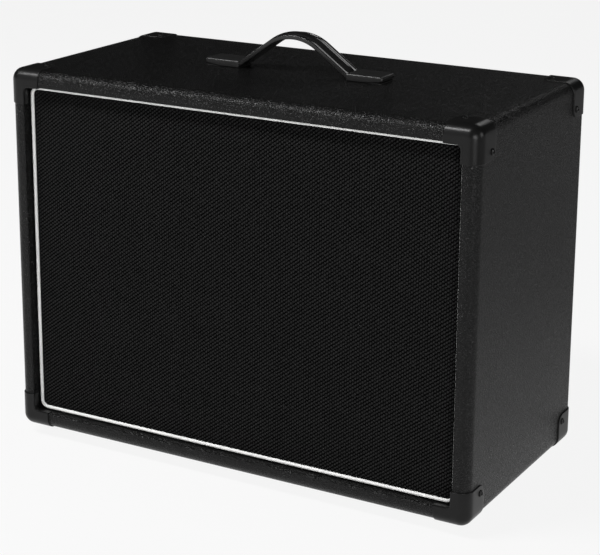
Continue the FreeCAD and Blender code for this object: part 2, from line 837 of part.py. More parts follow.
def piping():
    """Piping round the edge of the grille: one section run along each side and turned at each corner."""
    inner_x, inner_z = edge_x + glue_gap, edge_z + glue_gap
    run_x, run_z = inner_x - edge_turn, inner_z - edge_turn
    upright = piping_section(inner_x, z_mid - run_z).extrude(V(0, 0, 2 * run_z))
    bend = piping_section(inner_x, z_mid + run_z).revolve(V(run_x, 0, z_mid + run_z), V(0, 1, 0), -90)
    level = piping_section(edge_turn, z_mid)
    level.rotate(V(0, 0, z_mid), V(0, 1, 0), -90)
    level.translate(V(run_x, 0, run_z))
    level = level.extrude(V(-2 * run_x, 0, 0))
    quarter_turn = [upright, bend, level]
    middle = V(0, 0, z_mid)
    opposite = [piece.copy() for piece in quarter_turn]
    for piece in opposite:
        piece.rotate(middle, V(0, 1, 0), 180)
    mirrored = [bend.mirror(middle, V(1, 0, 0)), bend.mirror(middle, V(0, 0, 1))]
    return fuse(quarter_turn + opposite + mirrored)


def basket_profile():
    """Pressed steel frame: rim, sloping wall, ledge for the spider, cup and floor on the top plate."""
    cup_floor = basket_cup_radius - basket_cup_taper
    floor_inner = cup_floor - basket_floor_width
    floor_front = floor_depth - basket_wall
    return [
        (speaker_radius, rim_depth),
        (basket_rim_radius, rim_depth),
        (basket_ledge_radius, ledge_depth),
        (basket_cup_radius, ledge_depth),
        (cup_floor, floor_front),
        (floor_inner, floor_front),
        (floor_inner, floor_depth),
        (cup_floor + basket_wall, floor_depth),
        (basket_cup_radius + basket_wall, ledge_depth + basket_wall),
        (basket_ledge_radius + basket_wall, ledge_depth + basket_wall),
        (basket_rim_radius + basket_wall, rim_depth + basket_wall),
        (speaker_radius, rim_depth + basket_wall),
    ]


def basket():
    """Speaker frame with windows in its sloping wall and holes for its bolts."""
    inner = basket_ledge_radius + window_margin
    outer = basket_rim_radius - window_margin
    angle = 360.0 / window_count
    wedge = turned([(inner, 0), (outer, 0), (outer, floor_depth), (inner, floor_depth)], angle * window_share)
    windows = []
    for k in range(window_count):
        copy = wedge.copy()
        copy.rotate(V(0, 0, z_mid), V(0, 1, 0), k * angle)
        windows.append(copy)
    drilled = bolt_holes(baffle_back, baffle_back + rim_depth + basket_wall)
    return turned(basket_profile()).cut(windows + drilled)


def cone_depth(radius):
    """Depth of the front of the cone at a radius."""
    share = (cone_edge_radius - radius) / (cone_edge_radius - former_outer)
    return cone_edge_depth + share * (cone_neck_depth - cone_edge_depth)


def cone():
    """Paper cone with a flat edge, glued round the coil former."""
    neck = former_outer + glue_gap
    edge = cone_edge_radius + cone_flat
    slope = (cone_neck_depth - cone_edge_depth) / (cone_edge_radius - former_outer)
    along_axis = cone_wall * math.hypot(1, slope)
    return turned(
        [
            (neck, cone_depth(neck)),
            (cone_edge_radius, cone_edge_depth),
            (edge, cone_edge_depth),
            (edge, cone_edge_depth + cone_wall),
            (cone_edge_radius, cone_edge_depth + along_axis),
            (neck, cone_depth(neck) + along_axis),
        ]
    )


def dust_cap():
    """Thin dome glued on the cone over the coil."""
    rise = dust_cap_height
    rim = cone_depth(dust_cap_radius) - glue_gap
    radius = (dust_cap_radius**2 + rise**2) / (2 * rise)
    centre = V(0, baffle_back + rim - rise + radius, z_mid)
    dome = Part.makeSphere(radius, centre).cut(Part.makeSphere(radius - cone_wall, centre))
    in_front = [(0, 0), (dust_cap_radius, 0), (dust_cap_radius, rim), (0, cone_depth(0) - glue_gap)]
    return dome.common(turned(in_front))


def surround():
    """Rolled edge between the flat of the cone and the rim of the basket."""
    wall = surround_wall
    inner = cone_edge_depth - glue_gap - wall
    outer = rim_depth - glue_gap - wall
    crest = outer - surround_roll / 2
    start = cone_edge_radius + glue_gap
    foot = cone_edge_radius + surround_glue_width
    landing = gasket_inner_radius - surround_gap
    rise = foot + 0.3 * (basket_rim_radius - foot)
    fall = foot + 0.7 * (basket_rim_radius - foot)
    front = [
        (start, inner),
        (foot, inner),
        (rise, crest),
        (fall, crest),
        (basket_rim_radius, outer),
        (landing, outer),
    ]
    back = [
        (landing, outer + wall),
        (basket_rim_radius - wall / 2, outer + wall),
        (fall - wall / 2, crest + wall),
        (rise + wall / 2, crest + wall),
        (foot + wall / 2, inner + wall),
        (start, inner + wall),
    ]
    return turned(front + back)


def spider():
    """Corrugated cloth disc between the coil former and the ledge of the basket."""
    inner = former_outer + glue_gap
    outer = basket_ledge_radius - 2 * basket_wall
    inner_depth = ledge_depth + spider_dish
    ledge_front = ledge_depth - glue_gap - spider_wall
    first, last = inner + spider_collar, basket_cup_radius
    front = [(inner, inner_depth), (first, inner_depth)]
    for k in range(1, 2 * spider_waves):
        share = k / (2 * spider_waves)
        level = inner_depth + share * (ledge_front - inner_depth)
        side = -0.5 if k % 2 else 0.5
        front.append((first + share * (last - first), level + side * spider_wave_height))
    front += [(last, ledge_front), (outer, ledge_front)]
    back = [(radius, depth + spider_wall) for radius, depth in reversed(front)]
    return turned(front + back)


def motor():
    """Top plate, ring magnet and back plate with its pole, and the coil that runs in their gap."""
    gap = coil_outer + 2 * coil_gap
    back_plate = rod(back_plate_radius, V(0, baffle_back + magnet_back, z_mid), V(0, 1, 0), back_plate_thick)
    pole = rod(pole_radius, V(0, baffle_back + floor_depth, z_mid), V(0, 1, 0), magnet_back - floor_depth)
    coil_front, coil_back = coil_middle - coil_length / 2, coil_middle + coil_length / 2
    return {
        "top_plate": ring(gap, top_plate_radius, floor_depth, magnet_front),
        "magnet": ring(magnet_inner_radius, magnet_radius, magnet_front, magnet_back),
        "back_plate": fuse([back_plate, pole]),
        "coil_former": ring(former_inner, former_outer, cone_neck_depth - 2 * cone_wall, coil_back),
        "voice_coil": ring(former_outer + glue_gap, coil_outer, coil_front, coil_back),
    }


def speaker_fasteners():
    """Bolts through the baffle, gasket and rim, with a nut on each."""
    rim_back = baffle_back + rim_depth + basket_wall
    reach = rim_back - baffle_front + nut_thick + bolt_past_nut
    head = pan_head(bolt_head_radius, bolt_head_height)
    bolt = fuse([head, rod(bolt_radius, V(0, 0, 0), V(0, 0, -1), reach)])
    bolts, nuts = [], []
    for x, z in bolt_places():
        bolts.append(placed(bolt, V(x, baffle_front, z), V(0, -1, 0)))
        bore = rod(bolt_radius + glue_gap, V(x, rim_back, z), V(0, 1, 0), nut_thick)
        nuts.append(hexagon(nut_across_flats, rim_back, rim_back + nut_thick, x, z).cut(bore))
    return {"speaker_bolts": Part.makeCompound(bolts), "speaker_nuts": Part.makeCompound(nuts)}


def speaker():
    """Twelve inch speaker, bolted behind the baffle."""
    gasket = ring(gasket_inner_radius, speaker_radius, 0, gasket_thick)
    x, z = board_width / 2, board_height / 2
    made = {
        "speaker_gasket": gasket.cut(bolt_holes(baffle_back, baffle_back + gasket_thick)),
        "speaker_basket": basket(),
        "speaker_cone": cone(),
        "dust_cap": dust_cap(),
        "speaker_surround": surround(),
        "spider": spider(),
        "terminal_board": box(-x, x, board_front, board_back, board_z - z, board_z + z),
    }
    made.update(motor())
    made.update(speaker_fasteners())
    return made


def jack_places():
    """Middle of each jack socket across the plate."""
    return [-jack_pitch / 2, jack_pitch / 2]


def jack_body(x):
    """Moulded socket with a threaded bush through the plate and a chamber for the contact spring."""
    half_x, half_z = jack_width / 2, jack_height / 2
    case = box(x - half_x, x + half_x, jack_end, back_rear, jack_z - half_z, jack_z + half_z)
    bush = rod(bush_radius, V(x, back_rear, jack_z), V(0, 1, 0), jack_plate_thick + bush_past_plate)
    room_x, room_z = half_x - jack_wall, half_z - jack_wall
    room = box(
        x - room_x,
        x + room_x,
        jack_end + jack_end_wall,
        back_rear - jack_end_wall,
        jack_z - room_z,
        jack_z + room_z,
    )
    bore_length = jack_end_wall + jack_plate_thick + bush_past_plate
    bore = rod(jack_bore_radius, V(x, back_rear - jack_end_wall, jack_z), V(0, 1, 0), bore_length)
    slit_x, slit_z = leaf_width / 2 + leaf_slit_gap, leaf_thick / 2 + leaf_slit_gap
    level = jack_z + leaf_height
    slit = box(x - slit_x, x + slit_x, jack_end, jack_end + jack_end_wall, level - slit_z, level + slit_z)
    return fuse([case, bush]).cut([room, bore, slit])


def contact_leaf(x):
    """Springy contact, held in the end wall and bent in towards the plug's path."""
    touch = back_rear - leaf_touch_depth
    line = [
        (jack_end, leaf_height),
        (jack_end + jack_end_wall, leaf_height),
        (touch - leaf_bend_length, leaf_bend_height),
        (touch, leaf_touch_height),
        (touch + leaf_bend_length, leaf_bend_height),
    ]
    half = leaf_thick / 2
    outline = [V(x, y, jack_z + z + half) for y, z in line]
    outline += [V(x, y, jack_z + z - half) for y, z in reversed(line)]
    strip = Part.Face(Part.makePolygon(outline + outline[:1])).extrude(V(leaf_width, 0, 0))
    strip.translate(V(-leaf_width / 2, 0, 0))
    return strip


def tag_level():
    """Height of a solder tag's middle above or below the jack's axis, just past the contact spring."""
    return leaf_height + leaf_thick / 2 + leaf_slit_gap + tag_thick / 2


def solder_tags():
    """Brass tags on the ends of the jacks and on the speaker's terminal board."""
    half, thick = tag_width / 2, tag_thick / 2
    tags = []
    for x in jack_places():
        for up in (-1, 1):
            z = jack_z + up * tag_level()
            tags.append(box(x - half, x + half, jack_end - tag_length, jack_end, z - thick, z + thick))
    low, high = board_z - thick, board_z + thick
    for side in (-1, 1):
        x = side * terminal_pitch / 2
        tags.append(box(x - half, x + half, board_back, board_back + tag_length, low, high))
    return Part.makeCompound(tags)


def cord(points, size, name):
    """Round cord along straight runs joined by tangent arcs, each as large as its two runs allow."""
    edges, radii = [], []
    here = points[0]
    for before, corner, after in zip(points, points[1:], points[2:]):
        into, out = (corner - before), (after - corner)
        short = 0.45 * min(into.Length, out.Length)
        into.normalize()
        out.normalize()
        half_turn = into.getAngle(out) / 2
        radius = short / math.tan(half_turn)
        inward = out - into
        inward.normalize()
        start, finish = corner - into * short, corner + out * short
        middle = corner + inward * (radius / math.cos(half_turn) - radius)
        edges += [Part.LineSegment(here, start), Part.Arc(start, middle, finish)]
        radii.append(radius)
        here = finish
    edges.append(Part.LineSegment(here, points[-1]))
    path = Part.Wire([edge.toShape() for edge in edges])
    section = Part.Wire(Part.Circle(points[0], points[1] - points[0], size / 2).toShape())
    tube = path.makePipeShell([section], True, False)
    share = tube.Volume / (math.pi * size**2 / 4 * path.Length)
    print(name, "bend radii", [round(r, 1) for r in radii])
    print(name, "volume over section times length", round(share, 4))
    return tube


def wires():
    """Two wires from the left jack up behind the magnet to the speaker, and two links between the jacks."""
    jack_x = jack_places()[0]
    tag_end = jack_end - tag_length
    terminal_end = board_back + tag_length
    upper_from_jack = [V(0, -20, 0), V(1, -42, 14), V(3, -57, 46), V(6, -61, 86)]
    upper_to_speaker = [V(-5, 59, -62), V(-3, 55, -27), V(-1, 41, -1), V(0, 19, 0)]
    lower_from_jack = [V(0, -20, 0), V(4, -43, 10), V(11, -60, 46), V(17, -64, 92)]
    lower_to_speaker = [V(-5, 57, -65), V(-2, 54, -29), V(0, 41, -1), V(0, 19, 0)]
    tubes = []
    for level, side, from_jack, to_speaker in (
        (1, -1, upper_from_jack, upper_to_speaker),
        (-1, 1, lower_from_jack, lower_to_speaker),
    ):
        start = V(jack_x, tag_end, jack_z + level * tag_level())
        finish = V(side * terminal_pitch / 2, terminal_end, board_z)
        points = [start] + [start + p for p in from_jack] + [finish + p for p in to_speaker] + [finish]
        tubes.append(cord(points, wire_size, "speaker wire"))
    for up in (-1, 1):
        z = jack_z + up * (tag_level() + tag_thick / 2 + link_wire_size / 2)
        start = V(jack_x, jack_end - tag_length / 2, z)
        tubes.append(rod(link_wire_size / 2, start, V(1, 0, 0), jack_pitch))
    return Part.makeCompound(tubes)


def jacks():
    """Steel plate on the back panel with two jack sockets, their nuts, springs, tags and wires."""
    half_x, half_z = jack_plate_width / 2, jack_plate_height / 2
    plate = box(-half_x, half_x, back_rear, plate_rear, jack_z - half_z, jack_z + half_z)
    plate = plate.makeFillet(jack_plate_round, [e for e in plate.Edges if along(e, V(0, 1, 0))])
    bush_holes, nuts = [], []
    for x in jack_places():
        bush_holes.append(rod(bush_radius + hole_gap, V(x, back_rear, jack_z), V(0, 1, 0), jack_plate_thick))
        bore = rod(bush_radius + glue_gap, V(x, plate_rear, jack_z), V(0, 1, 0), jack_nut_thick)
        nuts.append(hexagon(jack_nut_flats, plate_rear, plate_rear + jack_nut_thick, x, jack_z).cut(bore))
    left, right = jack_places()
    return {
        "jack_plate": plate.cut(bush_holes + holes(plate_screw_seats(), plate_screw_length)),
        "jack_bodies": Part.makeCompound([jack_body(x) for x in jack_places()]),
        "jack_nuts": Part.makeCompound(nuts),
        "tip_spring_left": contact_leaf(left),
        "tip_spring_right": contact_leaf(right),
        "solder_tags": solder_tags(),
        "speaker_wires": wires(),
    }


def cabinet():
    """Every piece of the cabinet, by name."""
    made = {"vinyl_covering": covering()}
    for group in (carcass, boards, corner_protectors, feet, handle, grille, speaker, jacks):
        made.update(group())
    return made


os.makedirs("parts", exist_ok=True)
for node, shape in cabinet().items():
    shape.exportStep("parts/%s.step" % node)
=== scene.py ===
import json
import math

import bmesh
import bpy
import numpy as np
from mathutils import Matrix, Vector


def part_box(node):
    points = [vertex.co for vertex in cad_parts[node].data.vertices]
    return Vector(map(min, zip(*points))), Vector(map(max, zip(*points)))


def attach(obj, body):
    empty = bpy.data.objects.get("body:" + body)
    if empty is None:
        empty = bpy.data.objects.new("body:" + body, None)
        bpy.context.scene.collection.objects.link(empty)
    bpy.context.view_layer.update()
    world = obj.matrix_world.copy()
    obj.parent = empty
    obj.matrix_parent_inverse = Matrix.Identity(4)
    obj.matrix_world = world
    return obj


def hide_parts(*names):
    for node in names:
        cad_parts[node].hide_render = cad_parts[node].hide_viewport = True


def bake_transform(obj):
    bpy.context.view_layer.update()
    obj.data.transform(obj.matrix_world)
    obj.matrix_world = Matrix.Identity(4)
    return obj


# Looks of a closed guitar speaker cabinet, in metres.
# The front faces -Y, Z points up and the floor is at height 0.

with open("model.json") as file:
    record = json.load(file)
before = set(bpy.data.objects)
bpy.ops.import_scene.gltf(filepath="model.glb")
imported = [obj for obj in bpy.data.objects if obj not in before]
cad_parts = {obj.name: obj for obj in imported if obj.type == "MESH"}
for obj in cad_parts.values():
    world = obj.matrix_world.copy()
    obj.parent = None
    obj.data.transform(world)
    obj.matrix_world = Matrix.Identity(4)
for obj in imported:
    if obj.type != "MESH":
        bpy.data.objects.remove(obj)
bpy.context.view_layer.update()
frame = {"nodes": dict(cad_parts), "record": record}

MM = 0.001
MERGE = 1e-6
SHARP = math.radians(38)

# Box and its vinyl skin, which turns into both openings with the radius skin_lip
skin_low, skin_high = (np.array(corner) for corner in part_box("vinyl_covering"))
half_x, half_y = skin_high[0], skin_high[1]
half_z = (skin_high[2] - skin_low[2]) / 2
mid_z = (skin_high[2] + skin_low[2]) / 2
top_z = skin_high[2]
edge_round = 12 * MM
lip_round = 1.2 * MM
skin_lip = 1.8 * MM
rail = 18 * MM
vinyl_thick = 1 * MM
baffle_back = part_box("baffle_board")[1][1]
back_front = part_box("back_panel")[0][1]

# Corner protectors
corner_wall = 1.2 * MM
corner_lip = 0.7 * MM
corner_lip_depth = 7.4 * MM
corner_leg = 38 * MM
corner_free_round = 11 * MM
corner_inner_round = 5 * MM
corner_rim = 0.8 * MM
corner_sink = 1.2 * MM
corner_rear_gap = 0.3 * MM

# Places along the section of a front corner protector's lip, and its height over the box at each
half_lip_arc = lip_round * math.pi / 4
lip_stops = np.cumsum((0.0, corner_lip_depth - lip_round, half_lip_arc, half_lip_arc))
lip_heights = np.array((corner_lip, 1.1 * MM, 1.8 * MM, corner_wall))

# Grille
cloth_low, cloth_high = (np.array(corner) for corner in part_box("grille_cloth"))
cloth_thick = 0.8 * MM
cloth_fold = 1.2 * MM
cloth_return = 34 * MM
cloth_x = cloth_high[0]
cloth_z = (cloth_high[2] - cloth_low[2]) / 2
cloth_turn = 6.1 * MM
bead = 1.9 * MM
bead_behind_cloth = 0.5 * MM
bead_y = cloth_low[1] + bead_behind_cloth
tail_wide = 0.8 * MM
tail_long = 9 * MM

# Handle
strap_y = 5 * MM
strap_half_wide = 13.5 * MM
strap_low = -1.1 * MM
strap_high = 2.9 * MM
strap_level = top_z + 2.3 * MM
strap_rise = 36.7 * MM
strap_crown = 50 * MM
strap_bend = 14 * MM
strap_bend_x = 72 * MM
strap_tab_x = 93 * MM
strap_mouth_x = 67 * MM
strap_rim = 2.4 * MM
strap_rim_high = 0.8 * MM
strap_ridge = 13 * MM
strap_ridge_high = 2.9 * MM
strap_ridge_power = 0.7
strap_under_round = 0.8 * MM
strap_fade_long = 6 * MM
band_half_wide = 8 * MM
band_half_thick = 0.4 * MM
cap_low, cap_high = (np.array(corner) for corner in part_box("handle_cap_right"))
cap_wall = 1.2 * MM
cap_round = 1.5 * MM
cap_lift = 2.4 * MM
cap_lift_long = 20 * MM
cap_lip = 0.4 * MM
cap_inside = 18 * MM
cap_far_round = 2.2 * MM
cap_floor_slope = 0.6

# Feet
foot_low, foot_high = (np.array(corner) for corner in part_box("foot_front_right"))
foot_radius = (foot_high[0] - foot_low[0]) / 2
foot_bottom = 16.5 * MM
foot_round = 2 * MM
foot_well = 7 * MM
foot_well_round = 1 * MM
foot_web = 5 * MM
foot_screw_head = 3 * MM
foot_bevel_wide = 0.3 * MM
foot_bevel_high = 0.6 * MM

# Speaker, with depths counted backwards from the back of the baffle
speaker_place = (0.0, baffle_back, mid_z)
cone_edge = 125 * MM
cone_flat = 4 * MM
cone_edge_depth = 6 * MM
cone_neck = 22.25 * MM
cone_neck_depth = 59 * MM
cone_wall = 0.9 * MM
cone_back_ease = 0.1 * MM
rib_high = 0.35 * MM
rib_pitch = 7 * MM
rib_first_share = 0.4
rib_rise_share = 0.1
rib_fall_share = 0.05
dome_radius = 38 * MM
dome_rise = 14 * MM
dome_wall = 0.6 * MM
rim_radius = 136 * MM
rim_depth = 4 * MM
rim_room = 2.2 * MM
gasket_inner = 140 * MM
gasket_room = 1.3 * MM
surround_wall = 0.7 * MM
surround_lap = 0.5 * MM
surround_flat = 3 * MM
surround_ease = 0.05 * MM
surround_roll = 1.7 * MM
spider_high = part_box("spider")[1]
spider_swell_power = 0.3
spider_wall = 0.5 * MM
spider_room = 0.1 * MM
spider_inner_flat = 4 * MM
spider_both_flats = 9 * MM
spider_back_ease = 0.4 * MM
spider_wave = 1.2 * MM
spider_half_waves = 10
spider_middle = 1.6 * MM

# Wires, from the tags of the left jack to those of the speaker
wire_size = 2.6 * MM
link_size = 1.6 * MM
jack_tag = np.array((-20, 98, 103)) * MM
tag_level = np.array((0, 0, 5.8)) * MM
link_level = np.array((0, 4, 7)) * MM
speaker_tag = np.array((0, -22.4, 290.2)) * MM
tag_side = np.array((6, 0, 0)) * MM
upper_from_jack = np.array([(0, 0, 0), (0, -20, 0), (1, -42, 14), (3, -57, 46), (6, -61, 86)]) * MM
upper_to_speaker = np.array([(-5, 59, -62), (-3, 55, -27), (-1, 41, -1), (0, 19, 0), (0, 0, 0)]) * MM
lower_from_jack = np.array([(0, 0, 0), (0, -20, 0), (4, -43, 10), (11, -60, 46), (17, -64, 92)]) * MM
lower_to_speaker = np.array([(-5, 57, -65), (-2, 54, -29), (0, 41, -1), (0, 19, 0), (0, 0, 0)]) * MM
link_run = np.array([(0, 0, 0), (13, 0, 0), (27, 0, 0), (40, 0, 0)]) * MM

# Hook and loop pads
pad_turn = 2 * MM
pad_soft = 0.6 * MM
pad_crown = 0.1 * MM
pad_crown_wide = 4 * MM
pad_crown_share = 0.3
pad_core_gap = 0.1 * MM
pad_half_long = 25 * MM
pad_half_short = 10 * MM
pad_x = 166.4 * MM
pad_z = 166.4 * MM
pad_side_x = 239.4 * MM
pad_corners = [(side * pad_x, level * pad_z) for side in (-1, 1) for level in (-1, 1)]
pads_across = [(x, z, pad_half_long, pad_half_short) for x, z in pad_corners]
pads_upright = [(side * pad_side_x, 0.0, pad_half_short, pad_half_long) for side in (-1, 1)]

# Grain of the materials
pebble_size = 2.4 * MM
pebble_bend = 3 * MM
pebble_deep = 0.45 * MM
vinyl_fine = 0.5 * MM
vinyl_cloud = 60 * MM
weave_wide = 5.65 * MM
weave_tall = 4.15 * MM
thread_deep = 0.4 * MM
thread_fibre = 0.35 * MM
thread_knot = 2.2 * MM
cloth_cloud = 40 * MM
plain_cloud = 30 * MM
streak_wide = 2.2 * MM
streak_long = 90 * MM
streak_deep = 0.15 * MM
pore_share = 0.3
paper_fibre = 1.2 * MM
paper_deep = 0.2 * MM


class Field:
    """A node's output that takes part in sums; each operation on it adds a Math node."""

    def __init__(self, tree, socket):
        self.tree, self.socket = tree, socket

    def node(self, kind, settings, sockets, output=0):
        """Adds a node of any kind: first its settings, then a value or a link for each socket."""
        node = self.tree.nodes.new(kind)
        for name, value in settings.items():
            setattr(node, name, value)
        for key, value in sockets.items():
            if isinstance(value, Field):
                self.tree.links.new(value.socket, node.inputs[key])
            else:
                node.inputs[key].default_value = value
        return Field(self.tree, node.outputs[output])

    def math(self, operation, *terms):
        return self.node("ShaderNodeMath", {"operation": operation}, dict(enumerate(terms)))

    def __add__(self, other):
        return self.math("ADD", self, other)

    def __radd__(self, other):
        return self.math("ADD", other, self)

    def __sub__(self, other):
        return self.math("SUBTRACT", self, other)

    def __rsub__(self, other):
        return self.math("SUBTRACT", other, self)

    def __mul__(self, other):
        return self.math("MULTIPLY", self, other)

    def __rmul__(self, other):
        return self.math("MULTIPLY", other, self)

    def between(self, low, high):
        """0 below low and 1 above high, with a soft step from one to the other."""
        sockets = {"Value": self, "From Min": low, "From Max": high}
        return self.node("ShaderNodeMapRange", {"interpolation_type": "SMOOTHSTEP"}, sockets)

    def mixed(self, first, second):
        """Colour that goes from the first to the second as the field goes from 0 to 1."""
        sockets = {0: self, 6: (*first, 1.0), 7: (*second, 1.0)}
        return self.node("ShaderNodeMix", {"data_type": "RGBA"}, sockets, 2)

    def scaled(self, size):
        """Places counted in grains of the given size along each axis."""
        return self.node("ShaderNodeVectorMath", {"operation": "DIVIDE"}, {0: self, 1: size})

    def noise(self, detail=2.0, roughness=0.55):
        """Cloudy field from 0 to 1 with one cloud per unit of place."""
        sockets = {"Vector": self, "Scale": 1.0, "Detail": detail, "Roughness": roughness}
        return self.node("ShaderNodeTexNoise", {}, sockets)

    def axes(self):
        """The three coordinates of a place."""
        node = self.tree.nodes.new("ShaderNodeSeparateXYZ")
        self.tree.links.new(self.socket, node.inputs[0])
        return [Field(self.tree, output) for output in node.outputs]

    def bump(self, depth):
        """Normal of a surface that this field, from 0 to 1, raises by the given depth."""
        return self.node("ShaderNodeBump", {}, {"Height": self, "Distance": depth})


def object_place(tree):
    """Place on the piece that a material is on."""
    return Field(tree, tree.nodes.new("ShaderNodeTexCoord").outputs["Object"])


def finish(name, look, constants):
    """Material with constant sockets, and with a look that gives the others from the place on the piece."""
    material = bpy.data.materials.new(name)
    material.use_nodes = True
    tree = material.node_tree
    shader = tree.nodes["Principled BSDF"]
    for key, value in constants.items():
        shader.inputs[key].default_value = value
    for key, field in look(object_place(tree)).items():
        tree.links.new(field.socket, shader.inputs[key])
    return material


def grey(value):
    return (value, value, value)


def mottled(dark, light, grain, rough, rough_spread, depth):
    """Look of a plain surface: cloudy colour and gloss over a fine grain of the given sizes."""

    def look(place):
        cloud = place.scaled((plain_cloud,) * 3).noise(3.0)
        fine = place.scaled(grain).noise(3.0)
        shade = (0.5 * cloud + 0.5 * fine).between(0.3, 0.7)
        return {
            "Base Color": shade.mixed(dark, light),
            "Roughness": (cloud - 0.5) * rough_spread + rough,
            "Normal": fine.bump(depth),
        }

    return look


def vinyl_look(place):
    """Leathercloth: raised pebbles of about 2 mm with creases between them, duller in the creases and darker
    there with painted shade.
    """
    warp = place.scaled((pebble_bend,) * 3).noise(1.0)
    even = place.scaled((pebble_size,) * 3)
    bent = place.node("ShaderNodeVectorMath", {"operation": "ADD"}, {0: even, 1: warp})
    sockets = {"Vector": bent, "Scale": 1.0}
    edge = place.node("ShaderNodeTexVoronoi", {"feature": "DISTANCE_TO_EDGE"}, sockets)
    pebble = edge.between(0.0, 0.3)
    fine = place.scaled((vinyl_fine,) * 3).noise(2.0)
    cloud = place.scaled((vinyl_cloud,) * 3).noise(2.0)
    height = 0.75 * pebble + 0.25 * fine
    return {
        # Painted shade: darker in the creases between pebbles, over a cloudy tone that is the vinyl's own
        "Base Color": (0.6 * pebble + 0.4 * cloud).mixed(grey(0.0022), grey(0.0062)),
        "Roughness": 0.36 - 0.1 * pebble + 0.06 * (cloud - 0.5),
        "Normal": height.bump(pebble_deep),
    }


def weave_look(place):
    """Grille cloth: thick threads over and under each other, in rows that climb to the right."""
    x, y, z = place.axes()
    turn = 2 * math.pi
    along = (x + y) * (turn / weave_wide)
    up = (z + y) * (turn / weave_tall)
    rising = place.math("COSINE", up - along)
    falling = place.math("COSINE", up + along)
    across = place.math("COSINE", 2.0 * along)
    fibre = place.scaled((thread_fibre,) * 3).noise(2.0)
    cloud = place.scaled((cloth_cloud,) * 3).noise(2.0)
    knots = place.scaled((thread_knot,) * 3).noise(1.0)
    thread = 0.5 + 0.3 * rising + 0.15 * falling + 0.15 * across + 0.5 * (knots - 0.5)
    # The weave's pattern in colour, with painted shade that makes it darker where the threads dip and in the
    # gaps between them; fibre and cloud are the cloth's own tone
    shade = thread.between(0.1, 1.0) * (0.8 + 0.3 * fibre + 0.2 * (cloud - 0.5))
    return {
        "Base Color": shade.mixed(grey(0.0), grey(0.02)),
        "Roughness": 0.8 + 0.1 * fibre,
        "Normal": (0.8 * thread + 0.2 * fibre).bump(thread_deep),
    }


def wood_look(dark, light, along):
    """Wood with long streaks along one axis (0, 1 or 2)."""

    def look(place):
        size = [streak_wide] * 3
        size[along] = streak_long
        streak = place.scaled(tuple(size)).noise(4.0)
        pores = place.scaled(tuple(pore_share * step for step in size)).noise(2.0)
        return {
            "Base Color": (0.7 * streak + 0.3 * pores).between(0.25, 0.75).mixed(dark, light),
            "Roughness": 0.55 + 0.25 * pores,
            "Normal": (0.6 * streak + 0.4 * pores).bump(streak_deep),
        }

    return look


def rings_look(dark, light, pitch, rough):
    """Surface with fine rings round the speaker's axis, as in pressed paper or wound wire."""

    def look(place):
        x, y, z = place.axes()
        flat = place.node("ShaderNodeCombineXYZ", {}, {0: x, 1: z - mid_z})
        radius = place.node("ShaderNodeVectorMath", {"operation": "LENGTH"}, {0: flat}, 1)
        waves = place.math("SINE", (radius + y) * (2 * math.pi / pitch)) * 0.5 + 0.5
        fibre = place.scaled((paper_fibre,) * 3).noise(4.0)
        return {
            "Base Color": (0.25 * waves + 0.75 * fibre).between(0.2, 0.8).mixed(dark, light),
            "Roughness": rough + 0.15 * fibre,
            "Normal": (0.5 * waves + 0.5 * fibre).bump(paper_deep),
        }

    return look


